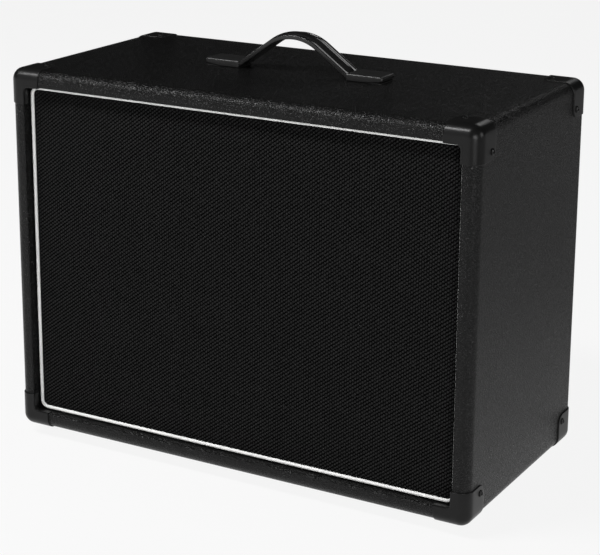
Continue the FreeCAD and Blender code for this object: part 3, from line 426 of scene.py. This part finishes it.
FINE = (0.6 * MM,) * 3
BRUSHED = (12 * MM, 0.3 * MM, 0.3 * MM)
FUZZY = (0.5 * MM,) * 3
BOARD = (9 * MM, 2 * MM, 2 * MM)
METAL = {"Metallic": 1.0}
SOFT_SHEEN = {"IOR": 1.28}
DULL = {"Specular IOR Level": 0.02}
PLAIN = {}
looks = {
    "vinyl": (vinyl_look, SOFT_SHEEN),
    "grille_cloth": (weave_look, DULL),
    "corner_plastic": (mottled(grey(0.005), grey(0.008), FINE, 0.3, 0.1, 0.01 * MM), SOFT_SHEEN),
    "strap_rubber": (mottled(grey(0.006), grey(0.01), FINE, 0.18, 0.08, 0.01 * MM), PLAIN),
    "cap_plastic": (mottled(grey(0.008), grey(0.012), FINE, 0.42, 0.12, 0.04 * MM), PLAIN),
    "black_screw": (mottled(grey(0.02), grey(0.05), FINE, 0.4, 0.2, 0.02 * MM), METAL),
    "piping": (mottled((0.76, 0.76, 0.75), (0.84, 0.84, 0.83), FINE, 0.42, 0.12, 0.02 * MM), PLAIN),
    "rubber": (mottled(grey(0.012), grey(0.022), FINE, 0.7, 0.15, 0.06 * MM), PLAIN),
    "plywood": (wood_look((0.42, 0.27, 0.14), (0.66, 0.48, 0.3), 0), PLAIN),
    "softwood": (wood_look((0.5, 0.33, 0.17), (0.72, 0.55, 0.34), 2), PLAIN),
    "black_board": (mottled(grey(0.012), grey(0.03), BOARD, 0.6, 0.2, 0.12 * MM), PLAIN),
    "hook_and_loop": (mottled(grey(0.006), grey(0.05), FUZZY, 0.9, 0.1, 0.6 * MM), PLAIN),
    "spring_steel": (mottled(grey(0.45), grey(0.6), BRUSHED, 0.32, 0.15, 0.01 * MM), METAL),
    "zinc_steel": (mottled((0.5, 0.51, 0.5), (0.68, 0.69, 0.7), FINE, 0.38, 0.2, 0.02 * MM), METAL),
    "basket_paint": (mottled(grey(0.015), grey(0.028), FINE, 0.42, 0.15, 0.05 * MM), PLAIN),
    "gasket_card": (
        mottled((0.03, 0.027, 0.024), (0.07, 0.062, 0.055), FUZZY, 0.85, 0.1, 0.15 * MM),
        PLAIN,
    ),
    "cone_paper": (rings_look((0.012, 0.012, 0.012), (0.035, 0.034, 0.033), 3.2 * MM, 0.72), PLAIN),
    "treated_cloth": (rings_look((0.01, 0.0095, 0.009), (0.04, 0.037, 0.033), 1.1 * MM, 0.55), PLAIN),
    "coil_winding": (rings_look((0.5, 0.2, 0.09), (0.72, 0.33, 0.16), 0.3 * MM, 0.3), METAL),
    "ferrite": (mottled(grey(0.03), grey(0.06), FINE, 0.6, 0.15, 0.08 * MM), PLAIN),
    "black_plastic": (mottled(grey(0.01), grey(0.018), FINE, 0.4, 0.15, 0.03 * MM), PLAIN),
    "wire_cover": (mottled(grey(0.012), grey(0.02), FINE, 0.45, 0.1, 0.02 * MM), PLAIN),
    "brass": (mottled((0.62, 0.42, 0.16), (0.78, 0.56, 0.24), BRUSHED, 0.35, 0.15, 0.01 * MM), METAL),
    "nickel": (mottled((0.6, 0.58, 0.54), (0.75, 0.73, 0.69), BRUSHED, 0.25, 0.12, 0.01 * MM), METAL),
}
finishes = {name: finish(name, look, constants) for name, (look, constants) in looks.items()}

for subpart in frame["record"]["subparts"]:
    node = frame["nodes"][subpart["node"]]
    node.data.materials.clear()
    node.data.materials.append(finishes[subpart["material_slot"]])


def quads(rows, columns, round_rows, round_columns):
    """Faces between neighbouring points of a grid, which close up along a round direction."""
    row = np.arange(rows if round_rows else rows - 1)[:, None]
    column = np.arange(columns if round_columns else columns - 1)[None, :]
    next_row, next_column = (row + 1) % rows, (column + 1) % columns
    corners = [(row, column), (next_row, column), (next_row, next_column), (row, next_column)]
    flat = [np.broadcast_to(i * columns + j, (row.size, column.size)) for i, j in corners]
    return np.stack(flat, -1).reshape(-1, 4)


def make_piece(name, patches, slot, body, node):
    """Piece that stands for a node, from grids of points.

    Doubled points merge, faces turn outwards and sharp edges stay sharp. A piece given no body is attached
    to none.
    """
    points, faces, first = [], [], 0
    for grid, round_rows, round_columns in patches:
        rows, columns = grid.shape[:2]
        points.append(grid.reshape(-1, 3))
        faces.append(quads(rows, columns, round_rows, round_columns) + first)
        first += rows * columns
    mesh = bpy.data.meshes.new(name)
    mesh.from_pydata(np.vstack(points).tolist(), [], np.vstack(faces).tolist())
    edit = bmesh.new()
    edit.from_mesh(mesh)
    bmesh.ops.remove_doubles(edit, verts=edit.verts, dist=MERGE)
    bmesh.ops.dissolve_degenerate(edit, edges=edit.edges, dist=MERGE)
    bmesh.ops.recalc_face_normals(edit, faces=edit.faces)
    edit.to_mesh(mesh)
    edit.free()
    mesh.polygons.foreach_set("use_smooth", np.ones(len(mesh.polygons), bool))
    mesh.set_sharp_from_angle(angle=SHARP)
    mesh.materials.append(finishes[slot])
    piece = bpy.data.objects.new(name, mesh)
    bpy.context.scene.collection.objects.link(piece)
    if body:
        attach(piece, body)
    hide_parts(node)
    return piece


def directions(first, last, steps):
    """Unit vectors from one angle to another, in degrees."""
    angle = np.radians(np.linspace(first, last, steps + 1))
    return np.stack([np.cos(angle), np.sin(angle)], -1)


def arc(centre, radius, first, last, steps):
    """Points on a circle from one angle to another, in degrees."""
    return np.asarray(centre) + radius * directions(first, last, steps)


def frames(reach_x, reach_z, turn, corner_steps=8, side_steps=10):
    """Rounded rectangles of the given half sizes and corner radii, one per entry.

    The result has one row per point round the rectangle, one column per entry, and x and z at the end.
    """
    quarter = np.linspace(0, math.pi / 2, corner_steps + 1)
    arcs = []
    for k, (side, level) in enumerate(((1, 1), (-1, 1), (-1, -1), (1, -1))):
        angle = (quarter + k * math.pi / 2)[:, None]
        x = side * (reach_x - turn) + turn * np.cos(angle)
        z = level * (reach_z - turn) + turn * np.sin(angle)
        arcs.append(np.stack([x, z], -1))
    share = (np.arange(1, side_steps) / side_steps)[:, None, None]
    rows = []
    for k in range(4):
        rows.append(arcs[k])
        rows.append(arcs[k][-1] * (1 - share) + arcs[(k + 1) % 4][0] * share)
    return np.concatenate(rows)


def carried(outline, along, x=0.0, z=0.0):
    """Grid from rounded rectangles about a place on the middle of the box, each at its own place along Y."""
    y = np.broadcast_to(along, outline.shape[:2])
    return np.stack([outline[..., 0] + x, y, outline[..., 1] + z + mid_z], -1)


def capped(grid):
    """Grid whose first and last rings are closed to their middle points."""
    ends = np.broadcast_to(grid.mean(axis=0), grid.shape)
    return np.concatenate([ends[:, :1], grid, ends[:, -1:]], axis=1)


def thicken(piece, thick, offset):
    """Gives a sheet its thickness: inwards with an offset of -1, to both sides with 0."""
    solid = piece.modifiers.new("thickness", "SOLIDIFY")
    solid.thickness = thick
    solid.offset = offset


def skin_line():
    """Section of the skin from the front opening round to the rear one.

    Columns are the distance in from the outside of the box and the place along Y.
    """
    lip = arc((rail - skin_lip, skin_lip - half_y), skin_lip, 0, -90, 8)
    edge = arc((edge_round, edge_round - half_y), edge_round, -90, -180, 10)
    front = np.vstack([lip, edge])
    rear = (front * (1, -1))[::-1]
    return np.vstack([[(rail, baffle_back)], front, rear, [(rail, back_front)]])


def vinyl_skin():
    """Vinyl glued round the box: its section is carried round the box's rounded outline."""
    section = skin_line()
    inset, along = section[:, 0], section[:, 1]
    grid = carried(frames(half_x - inset, half_z - inset, np.maximum(edge_round - inset, 0)), along)
    piece = make_piece("vinyl_skin", [(grid, True, False)], "vinyl", "cabinet", "vinyl_covering")
    thicken(piece, vinyl_thick, -1)


def corner_line(with_lip):
    """Section of the box edge under a corner protector, finely divided.

    Columns are the inset, the place along Y, the direction outwards and the length so far.
    """
    edge = arc((edge_round, edge_round - half_y), edge_round, -90, -180, 60)
    edge_out = directions(-90, -180, 60)
    leg = [(0.0, corner_leg - half_y)]
    if with_lip:
        lip = arc((rail - lip_round, lip_round - half_y), lip_round, 0, -90, 30)
        points = np.vstack([[(rail, corner_lip_depth - half_y)], lip, edge, leg])
        out = np.vstack([[(1, 0)], directions(0, -90, 30), edge_out, [(-1, 0)]])
    else:
        points = np.vstack([[(rail - corner_rear_gap, -half_y)], edge, leg])
        out = np.vstack([[(0, -1)], edge_out, [(-1, 0)]])
    length = np.concatenate([[0], np.cumsum(np.hypot(*np.diff(points, axis=0).T))])
    return np.column_stack([points, out, length])


def corner_protector(name, front, side, level):
    """Corner cover: a patch of even thickness over the corner of the box, with a rounded rim.

    One parameter runs along the box's outline, up one leg, round the corner and along the other leg. The
    other runs along the section of the box edge. Both free corners are cut to quarter circles, and the rim
    bends down over its own radius to the box.
    """
    line = corner_line(front)
    leg = corner_leg - edge_round
    bend = edge_round * math.pi / 2
    long_u = 2 * leg + bend
    long_v = line[-1, 4]
    flat_v = long_v - leg
    start = corner_free_round * (1 - np.cos(np.linspace(0, math.pi / 2, 9)))
    near = np.concatenate([start, [0.8 * leg], np.linspace(leg, leg + bend / 2, 7)])
    stops_u = np.concatenate([near, (long_u - near)[-2::-1]])
    bent_v = long_v - leg - bend
    lead_v = np.linspace(0, bent_v, 4)
    if front:
        lip_v = np.linspace(lip_stops[1], lip_stops[3], 13)
        lead_v = np.concatenate([lip_stops[:1], lip_v, lead_v[-2:]])
    bend_v = np.linspace(bent_v, flat_v, 11)
    leg_v = np.linspace(flat_v, long_v, 8)
    stops_v = np.concatenate([lead_v, bend_v[1:], leg_v[1:]])

    def domain(u, v, inset):
        """Place in the patch, drawn in from its border by an inset."""
        u = inset + u * (1 - 2 * inset / long_u)
        v = np.clip(v, inset, long_v - inset)
        turn = corner_free_round - inset
        past = np.clip(np.minimum(u, long_u - u) - inset, 0, turn)
        cut = turn - np.sqrt(turn**2 - (turn - past) ** 2)
        share = np.clip((v - flat_v) / (long_v - inset - flat_v), 0, 1)
        return u, v - share * cut

    def shell(u, v, height):
        """Point above the box at a place in the patch."""
        inset, y, out_d, out_y = (np.interp(v, line[:, 4], line[:, k]) for k in range(4))
        if front:
            height = height * np.interp(v, lip_stops, lip_heights) / corner_wall
        inset, y = inset + height * out_d, y + height * out_y
        inner = corner_inner_round if front else 0.0
        turn = np.where(
            inset < edge_round,
            edge_round - inset,
            inner * (inset - edge_round) / (rail + corner_lip - edge_round),
        )
        centre_x, centre_z = half_x - inset - turn, half_z - inset - turn
        angle = np.clip((u - leg) / bend, 0, 1) * math.pi / 2
        up = np.clip(u / leg, 0, 1)
        back = np.clip((long_u - u) / leg, 0, 1)
        end_x, end_z = half_x - corner_leg, half_z - corner_leg
        x = np.where(u > leg + bend, end_x + back * (centre_x - end_x), centre_x + turn * np.cos(angle))
        z = np.where(u < leg, end_z + up * (centre_z - end_z), centre_z + turn * np.sin(angle))
        facing = 1 if front else -1
        return np.stack([side * x, facing * y, mid_z + level * z], -1)

    u, v = np.meshgrid(stops_u, stops_v, indexing="ij")
    border_u = np.concatenate([u[:, 0], u[-1, 1:], u[-2::-1, -1], u[0, -2:0:-1]])
    border_v = np.concatenate([v[:, 0], v[-1, 1:], v[-2::-1, -1], v[0, -2:0:-1]])
    bow = np.linspace(0, math.pi / 2, 6)
    rings = [(corner_rim * (1 - math.sin(t)), corner_wall - corner_rim * (1 - math.cos(t))) for t in bow]
    rings.append((0.0, -corner_sink))
    rim = np.stack([shell(*domain(border_u, border_v, inset), height) for inset, height in rings])
    outside = shell(*domain(u, v, corner_rim), corner_wall)
    inside = shell(*domain(u, v, 0.0), -corner_sink)
    patches = [(outside, False, False), (rim, False, True), (inside, False, False)]
    make_piece(name + "_cover", patches, "corner_plastic", "cabinet", name)


def grille_cloth():
    """Cloth stretched over the grille frame, from its return at the back, over the edge, to the middle."""
    half = cloth_thick / 2
    front, back = cloth_low[1] + half, cloth_high[1] - half
    rear_fold = arc((cloth_fold, back - cloth_fold), cloth_fold, 90, 180, 4)
    front_fold = arc((cloth_fold, front + cloth_fold), cloth_fold, 180, 270, 4)
    middle = cloth_z - half
    across = np.linspace(cloth_fold, middle, 9)[1:]
    face = np.column_stack([across, np.full(across.size, front)])
    section = np.vstack([[(cloth_return, back)], rear_fold, front_fold, face])
    inset, along = section[:, 0], section[:, 1]
    reach_x, reach_z = cloth_x - half - inset, middle - inset
    grid = carried(frames(reach_x, reach_z, np.maximum(cloth_turn - half - inset, 0)), along)
    patches = [(grid, True, False)]
    piece = make_piece("grille_cloth_sheet", patches, "grille_cloth", "grille", "grille_cloth")
    thicken(piece, cloth_thick, 0)
    deep = cloth_high[1] - cloth_low[1]
    wide = 2 * (cloth_x + deep + cloth_return)
    tall = 2 * (cloth_z + deep + cloth_return)
    area = wide * tall - 4 * cloth_return**2


def grille_piping():
    """White piping: a round bead with a flat tail behind it, carried round the edge of the grille."""
    start = math.degrees(math.asin(1 - tail_wide / bead))
    round_part = arc((bead, 0), bead, 180 - (90 - start), -180, 28)
    tail = [(0.0, tail_long), (tail_wide, tail_long)]
    section = np.vstack([round_part, tail])
    out, along = section[:, 0], section[:, 1]
    grid = carried(frames(cloth_x + out, cloth_z + out, cloth_turn + out, 12, 16), bead_y + along)
    make_piece("piping_bead", [(grid, True, True)], "piping", "grille", "grille_piping")


def strap_path():
    """Middle line of the right half of the strap, from its tab to its crown: x, height and slope.

    It has a flat tab, an arc that bends up, a straight flank and the arc of the crown, each tangent to
    the next.
    """
    radii = strap_crown + strap_bend
    lean = 2 * radii - strap_rise
    slope = 2 * math.atan((strap_bend_x - math.sqrt(strap_bend_x**2 - lean * strap_rise)) / lean)
    bend = np.linspace(0, slope, 9)
    crown = np.linspace(slope, 0, 14)
    bend_x = strap_bend_x - strap_bend * np.sin(bend)
    bend_z = strap_level + strap_bend * (1 - np.cos(bend))
    crown_x = strap_crown * np.sin(crown)
    crown_z = strap_level + strap_rise - strap_crown * (1 - np.cos(crown))
    share = np.linspace(0, 1, 10)[1:-1]
    flank_x = bend_x[-1] + share * (crown_x[0] - bend_x[-1])
    flank_z = bend_z[-1] + share * (crown_z[0] - bend_z[-1])
    x = np.concatenate([[strap_tab_x], bend_x, flank_x, crown_x])
    z = np.concatenate([[strap_level], bend_z, flank_z, crown_z])
    return x, z, np.concatenate([[0], bend, np.full(share.size, slope), crown])


def strip_half(side, section):
    """Half of an arched strip: a section across and above its middle line, carried along that line."""
    x, z, slope = strap_path()
    y = np.broadcast_to(strap_y + section[..., 0], (x.size, section.shape[-2]))
    above = section[..., 1]
    grid_x = x[:, None] + above * np.sin(slope)[:, None]
    grid_z = z[:, None] + above * np.cos(slope)[:, None]
    grid = np.stack([side * grid_x, y, grid_z], -1)
    middle = grid[0].mean(axis=0)
    end = np.broadcast_to(middle, grid[:1].shape)
    return np.concatenate([end, grid])


def strap_section():
    """Section of the rubber strap: a bead along each edge and a round ridge along the middle of its top.

    The ridge and the beads sink away where the strap goes into its caps.
    """
    across = strap_half_wide * np.sin(np.linspace(-math.pi / 2, math.pi / 2, 97))
    ridge = np.clip(1 - (across / (strap_ridge / 2)) ** 2, 0, 1) ** strap_ridge_power * strap_ridge_high
    from_bead = (strap_half_wide - strap_rim / 2 - np.abs(across)) / (strap_rim / 2)
    beads = np.sqrt(np.clip(1 - from_bead**2, 0, 1)) * strap_rim_high
    x, _, _ = strap_path()
    fade = np.clip((strap_mouth_x - x) / strap_fade_long, 0, 1)
    fade = (fade * fade * (3 - 2 * fade))[:, None]
    top = strap_high + fade * (ridge + beads)[None, :]
    edge = np.clip((np.abs(across) - strap_half_wide + strap_under_round) / strap_under_round, 0, 1)
    bottom = np.broadcast_to(strap_low + strap_under_round * (1 - np.sqrt(1 - edge**2)), top.shape)
    wide = np.broadcast_to(across, top.shape)
    upper, lower = np.stack([wide, top], -1), np.stack([wide, bottom], -1)
    return np.concatenate([upper, lower[:, ::-1]], axis=1)


def band_section():
    """Section of the flat spring band inside the strap."""
    wide, thick = band_half_wide, band_half_thick
    corners = np.array([(-wide, -thick), (wide, -thick), (wide, thick), (-wide, thick)])
    return corners[None]


def strap():
    """Arched strap and the spring band in it, each in two halves that rise from the caps to the middle."""
    layers = (
        ("strap_half_", strap_section(), "strap_rubber", "handle_strap"),
        ("band_half_", band_section(), "spring_steel", "strap_spring_band"),
    )
    for side, word in ((-1, "left"), (1, "right")):
        for start, section, slot, node in layers:
            grid = strip_half(side, section)
            piece = make_piece(start + word, [(grid, False, True)], slot, None, node)
            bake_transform(piece)


def handle_cap(side, word):
    """End cap of the handle: rounded sections carried from inside its open mouth out to its far end."""
    long = cap_high[0] - cap_low[0]
    wide = (cap_high[1] - cap_low[1]) / 2
    top, low = cap_high[2], cap_low[2]
    bow = np.linspace(0, math.pi / 2, 7)
    far, lip = cap_far_round, cap_lip
    mouth = [(cap_inside, cap_wall), (lip, cap_wall), (0.0, cap_wall - lip), (0.0, lip), (lip, 0.0)]
    run = [(t, 0.0) for t in np.linspace(lip, long - far, 12)[1:]]
    end = [(long - far * (1 - math.sin(t)), far * (1 - math.cos(t))) for t in bow[1:]]
    stations = np.array(mouth + run + end)
    t, inset = stations[:, 0], stations[:, 1]
    lift = cap_lift * np.clip((t - long + cap_lift_long) / cap_lift_long, 0, 1)
    lift[0] = 0
    floor = low + lift + cap_floor_slope * inset
    roof = top - inset
    outline = frames(wide - inset, (roof - floor) / 2, np.full(t.size, cap_round), 5, 3)
    x = np.broadcast_to(cap_low[0] + t, outline.shape[:2])
    z = outline[..., 1] + (roof + floor) / 2
    grid = np.stack([side * x, strap_y + outline[..., 0], z], -1)
    name = "handle_cap_" + word
    make_piece(name + "_cover", [(capped(grid), True, False)], "cap_plastic", "cabinet", name)


def lathe(name, profile, place, axis, slot, body, node, steps=96):
    """Profile of radius and height turned about an axis that points up or back.

    A profile that is off the axis at either end is closed into a ring.
    """
    angle = np.linspace(0, 2 * math.pi, steps, endpoint=False)[:, None]
    radius, height = np.asarray(profile)[:, 0], np.asarray(profile)[:, 1]
    across, up = radius * np.cos(angle), radius * np.sin(angle)
    deep = np.broadcast_to(height, across.shape)
    turned = [across, up, deep] if axis == "up" else [across, deep, up]
    grid = np.stack(turned, -1) + np.asarray(place)
    off_axis = (radius[0] + radius[-1]) > MERGE
    make_piece(name, [(grid, True, off_axis)], slot, body, node)


def foot(name):
    """Rubber foot with a rounded bottom edge and a well for its screw."""
    low, high = (np.array(corner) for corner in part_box(name))
    tall = high[2] - low[2]
    edge = arc((foot_bottom - foot_round, foot_round), foot_round, -90, 0, 6)
    well = arc((foot_well + foot_well_round, foot_well_round), foot_well_round, 180, 270, 4)
    well_top = tall - foot_web - foot_screw_head
    ceiling = [(0, well_top), (foot_well, well_top)]
    top = [(foot_radius, tall - foot_bevel_high), (foot_radius - foot_bevel_wide, tall), (0, tall)]
    profile = np.vstack([ceiling, well, edge, top])
    place = ((low[0] + high[0]) / 2, (low[1] + high[1]) / 2, low[2])
    lathe(name + "_rubber", profile, place, "up", "rubber", "cabinet", name, 64)


def speaker_cone():
    """Paper cone with shallow ribs in its outer part and a flat edge that carries the surround."""
    share = np.linspace(0, 1, 90)
    radius = cone_neck + share * (cone_edge - cone_neck)
    depth = cone_neck_depth + share * (cone_edge_depth - cone_neck_depth)
    waves = rib_high * np.sin(2 * math.pi * radius / rib_pitch)
    ribs = waves * np.clip((share - rib_first_share) / rib_rise_share, 0, 1)
    ribs = ribs * np.clip((1 - share) / rib_fall_share, 0, 1)
    front = np.column_stack([radius, depth + ribs])
    flat = [(cone_edge + cone_flat, cone_edge_depth)]
    back = np.vstack([front, flat]) + (0, cone_wall)
    back[:-1, 1] += cone_back_ease
    profile = np.vstack([front, flat, back[::-1]])
    lathe("cone_paper_shell", profile, speaker_place, "back", "cone_paper", "cone", "speaker_cone", 144)


def turned_sheet(name, front, wall, slot, node, steps=96):
    """Thin piece of the speaker: its front line and the same line moved back by its wall, turned."""
    profile = np.vstack([front, (front + (0, wall))[::-1]])
    lathe(name, profile, speaker_place, "back", slot, "cone", node, steps)


def dust_cap():
    """Dome over the middle of the cone: a part of a sphere whose rim lies on the cone."""
    sphere = (dome_radius**2 + dome_rise**2) / (2 * dome_rise)
    radius = dome_radius * np.linspace(0, 1, 24)
    rim_share = (cone_edge - dome_radius) / (cone_edge - cone_neck)
    rim = cone_edge_depth + rim_share * (cone_neck_depth - cone_edge_depth)
    depth = rim - dome_rise + sphere - np.sqrt(sphere**2 - radius**2)
    turned_sheet("dust_cap_dome", np.column_stack([radius, depth]), dome_wall, "cone_paper", "dust_cap")


def speaker_surround():
    """Treated cloth with two rolls, from the flat edge of the cone to the rim of the basket."""
    first_roll = cone_edge + surround_flat
    radius = np.linspace(cone_edge + surround_lap, gasket_inner - gasket_room, 80)
    across = np.clip((radius - first_roll) / (rim_radius - first_roll), 0, 1)
    climb = rim_depth - rim_room - cone_edge_depth
    base = cone_edge_depth - surround_wall + across * climb - surround_ease
    rolls = surround_roll * np.sin(2 * math.pi * across) ** 2
    front = np.column_stack([radius, base - rolls])
    turned_sheet("surround_pleats", front, surround_wall, "treated_cloth", "speaker_surround", 144)


def spider():
    """Corrugated disc that centres the coil, flat at its inner and outer edges."""
    outer = spider_high[0]
    radius = np.linspace(cone_neck + spider_room, outer, 110)
    from_flat = radius - cone_neck - spider_inner_flat
    across = np.clip(from_flat / (outer - cone_neck - spider_both_flats), 0, 1)
    swell = np.sin(math.pi * across) ** spider_swell_power
    waves = spider_wave * np.sin(spider_half_waves * math.pi * across) * swell
    deep = spider_high[1] - baffle_back - spider_back_ease
    front = np.column_stack([radius, deep - spider_middle + waves])
    turned_sheet("spider_disc", front, spider_wall, "treated_cloth", "spider")


def wire(name, route, size):
    """Wire on one smooth line led by the points of its route."""
    slot = "wire_cover"
    curve = bpy.data.curves.new(name, "CURVE")
    curve.dimensions = "3D"
    spline = curve.splines.new("NURBS")
    spline.points.add(len(route) - 1)
    spline.points.foreach_set("co", np.column_stack([route, np.ones(len(route))]).ravel())
    spline.order_u = 3
    spline.use_endpoint_u = True
    spline.resolution_u = 8
    curve.bevel_depth = size / 2
    curve.bevel_resolution = 4
    curve.use_fill_caps = True
    curve.materials.append(finishes[slot])
    piece = bpy.data.objects.new(name, curve)
    bpy.context.scene.collection.objects.link(piece)
    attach(piece, "cabinet")
    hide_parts("speaker_wires")


def pads(name, node, body):
    """Pads of hook or loop tape: rounded rectangles with soft edges and slightly crowned faces."""
    low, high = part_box(node)
    front, back = low[1], high[1]
    middle = (front + back) / 2
    half = (back - front) / 2
    bow = arc((pad_soft, 0), pad_soft, 90, 270, 8)
    edge = np.column_stack([bow[:, 0], bow[:, 1] * (half - pad_crown) / pad_soft])
    shoulder = half - pad_crown_share * pad_crown
    core = pad_half_short - pad_core_gap
    back_face = [(core, half), (pad_crown_wide, shoulder)]
    front_face = [(pad_crown_wide, -shoulder), (core, -half)]
    section = np.vstack([back_face, edge, front_face])
    inset, along = section[:, 0], middle + section[:, 1]
    patches = []
    for x, z, wide, tall in pads_across + pads_upright:
        outline = frames(wide - inset, tall - inset, np.maximum(pad_turn - inset, 0), 6, 6)
        patches.append((capped(carried(outline, along, x, z)), True, False))
    piece = make_piece(name, patches, "hook_and_loop", body, node)


# Pieces of the cabinet
upper_start, upper_end = jack_tag + tag_level, speaker_tag - tag_side
lower_start, lower_end = jack_tag - tag_level, speaker_tag + tag_side
upper = np.vstack([upper_start + upper_from_jack, upper_end + upper_to_speaker])
lower = np.vstack([lower_start + lower_from_jack, lower_end + lower_to_speaker])
upper_link = jack_tag + link_level + link_run
lower_link = jack_tag + link_level * (1, 1, -1) + link_run
wire("speaker_wire_upper", upper, wire_size)
wire("speaker_wire_lower", lower, wire_size)
wire("jack_link_upper", upper_link, link_size)
wire("jack_link_lower", lower_link, link_size)
pads("hook_tape", "hook_pads", "cabinet")
pads("loop_tape", "loop_pads", "grille")
vinyl_skin()
for depth_word, front in (("front", True), ("rear", False)):
    for level_word, level in (("top", 1), ("bottom", -1)):
        for side_word, side in (("left", -1), ("right", 1)):
            corner_protector(f"corner_{depth_word}_{level_word}_{side_word}", front, side, level)
grille_cloth()
grille_piping()
strap()
handle_cap(1, "right")
handle_cap(-1, "left")
for depth_word in ("front", "rear"):
    for side_word in ("left", "right"):
        foot(f"foot_{depth_word}_{side_word}")
speaker_cone()
dust_cap()
speaker_surround()
spider()

# Floor, which is nearly white to the rays named here
FLOOR_RAYS = ("Is Camera Ray", "Is Glossy Ray", "Is Transmission Ray")
floor_reach = 12.0
floor_cloud = 0.5
floor_glow_share = 0.93
floor_white = grey(0.955)
# Painted shade that only reflections see: its grey, and the patches to the right behind the cabinet and
# before it
painted_reflection_shade = grey(0.28)
painted_shade_behind_x = (0.2, 0.32)
painted_shade_way_x, painted_shade_way_y = 0.37, 0.93
painted_shade_behind_reach = (-0.2, 0.95)
painted_shade_before_x = (0.25, 0.5)
painted_shade_before_reach = (0.1, 0.35)


def floor_finish():
    """Pale floor that the camera and reflections see nearly white, with a soft shadow.

    Reflections see painted shade on it: for glossy rays only it is painted grey to the right, behind the
    cabinet and before it, so that the cabinet's sides reflect a darker floor there.
    """

    def look(place):
        return {"Base Color": place.scaled((floor_cloud,) * 3).noise(2.0).mixed(grey(0.88), grey(0.92))}

    material = finish("floor", look, {"Roughness": 0.9, "Specular IOR Level": 0.0})
    tree = material.node_tree
    place = object_place(tree)
    light_path = tree.nodes.new("ShaderNodeLightPath")
    to_camera, to_gloss, to_glass = (Field(tree, light_path.outputs[key]) for key in FLOOR_RAYS)
    share = place.math("MINIMUM", to_camera + to_gloss + to_glass, 1.0) * floor_glow_share
    x, y, _ = place.axes()
    # Painted shade: glossy rays see the floor grey in these patches, to the right behind the cabinet and
    # before it
    painted_shade_behind = x.between(*painted_shade_behind_x) * (painted_shade_way_x * x + painted_shade_way_y * y).between(*painted_shade_behind_reach)
    before = x.between(*painted_shade_before_x) * (-1.0 * y).between(*painted_shade_before_reach)
    colour = ((painted_shade_behind + before) * to_gloss).mixed(floor_white, painted_reflection_shade)
    glow = place.node("ShaderNodeEmission", {}, {"Color": colour, "Strength": 1.0})
    surface = Field(tree, tree.nodes["Principled BSDF"].outputs[0])
    both = place.node("ShaderNodeMixShader", {}, {0: share, 1: surface, 2: glow})
    tree.links.new(both.socket, tree.nodes["Material Output"].inputs["Surface"])
    return material


floor_mesh = bpy.data.meshes.new("floor")
floor_signs = ((-1, -1), (1, -1), (1, 1), (-1, 1))
floor_corners = [(x * floor_reach, y * floor_reach, 0) for x, y in floor_signs]
floor_mesh.from_pydata(floor_corners, [], [(0, 1, 2, 3)])
floor_mesh.materials.append(floor_finish())
floor = bpy.data.objects.new("floor", floor_mesh)
bpy.context.scene.collection.objects.link(floor)


def lamp(name, place, target, width, height, power):
    """Soft lamp of a width and height that faces a target."""
    light = bpy.data.lights.new(name, "AREA")
    light.shape = "RECTANGLE"
    light.size, light.size_y = width, height
    light.energy = power
    thing = bpy.data.objects.new(name, light)
    thing.location = place
    way = Vector(target) - Vector(place)
    thing.rotation_euler = way.to_track_quat("-Z", "Y").to_euler()
    thing.visible_camera = False
    bpy.context.scene.collection.objects.link(thing)


lamp("front_top", (-1.02, -1.09, 2.06), (-1.02, 0.2, 0.3), 1.45, 0.3, 56)
lamp("front", (1.95, -2.0, 0.65), (0, 0, 0.2), 1.2, 1.2, 35)
lamp("left", (-1.3, -2.5, 1.1), (0, 0, 0.2), 2.0, 2.0, 8)
lamp("rear", (0.05, 2.15, 1.75), (0, 0, 0.4), 0.7, 0.7, 3)
lamp("right", (3.2, 0.6, 1.2), (0, 0, 0.2), 1.2, 1.2, 20)

# World: the camera sees a white backdrop, and reflections a dark room above the level of the floor
scene = bpy.context.scene
world = bpy.data.worlds.new("studio")
world.use_nodes = True
scene.world = world
world_tree = world.node_tree
direction = Field(world_tree, world_tree.nodes.new("ShaderNodeTexCoord").outputs["Generated"])
height = direction.axes()[2]
backdrop = Field(world_tree, world_tree.nodes.new("ShaderNodeLightPath").outputs["Is Camera Ray"])
sky = (height.between(-0.05, 0.04) * (1 - backdrop)).mixed(grey(0.95), grey(0.007))
world_tree.links.new(sky.socket, world_tree.nodes["Background"].inputs["Color"])

# Camera, fitted to the straight edges of the box in the photograph
view = bpy.data.cameras.new("camera")
camera = bpy.data.objects.new("camera", view)
scene.collection.objects.link(camera)
scene.camera = camera
camera_place = np.array((950.2, -1667.3, 808.7)) * MM
yaw, pitch, roll = (math.radians(angle) for angle in (29.52, 15.278, -0.366))
focal_pixels = 1803.7
picture_width = 600
lens_shift = -0.129
ahead = np.array((-math.sin(yaw) * math.cos(pitch), math.cos(yaw) * math.cos(pitch), -math.sin(pitch)))
across = np.array((math.cos(yaw), math.sin(yaw), 0.0))
down = np.cross(ahead, across)
right = math.cos(roll) * across + math.sin(roll) * down
low = math.cos(roll) * down - math.sin(roll) * across
turned = np.eye(4)
turned[:3] = np.column_stack([right, -low, -ahead, camera_place])
camera.matrix_world = Matrix(turned.tolist())
view.sensor_fit = "HORIZONTAL"
view.lens = focal_pixels * view.sensor_width / picture_width
view.shift_y = lens_shift
view.dof.use_dof = False
scene.view_settings.view_transform = "Standard"
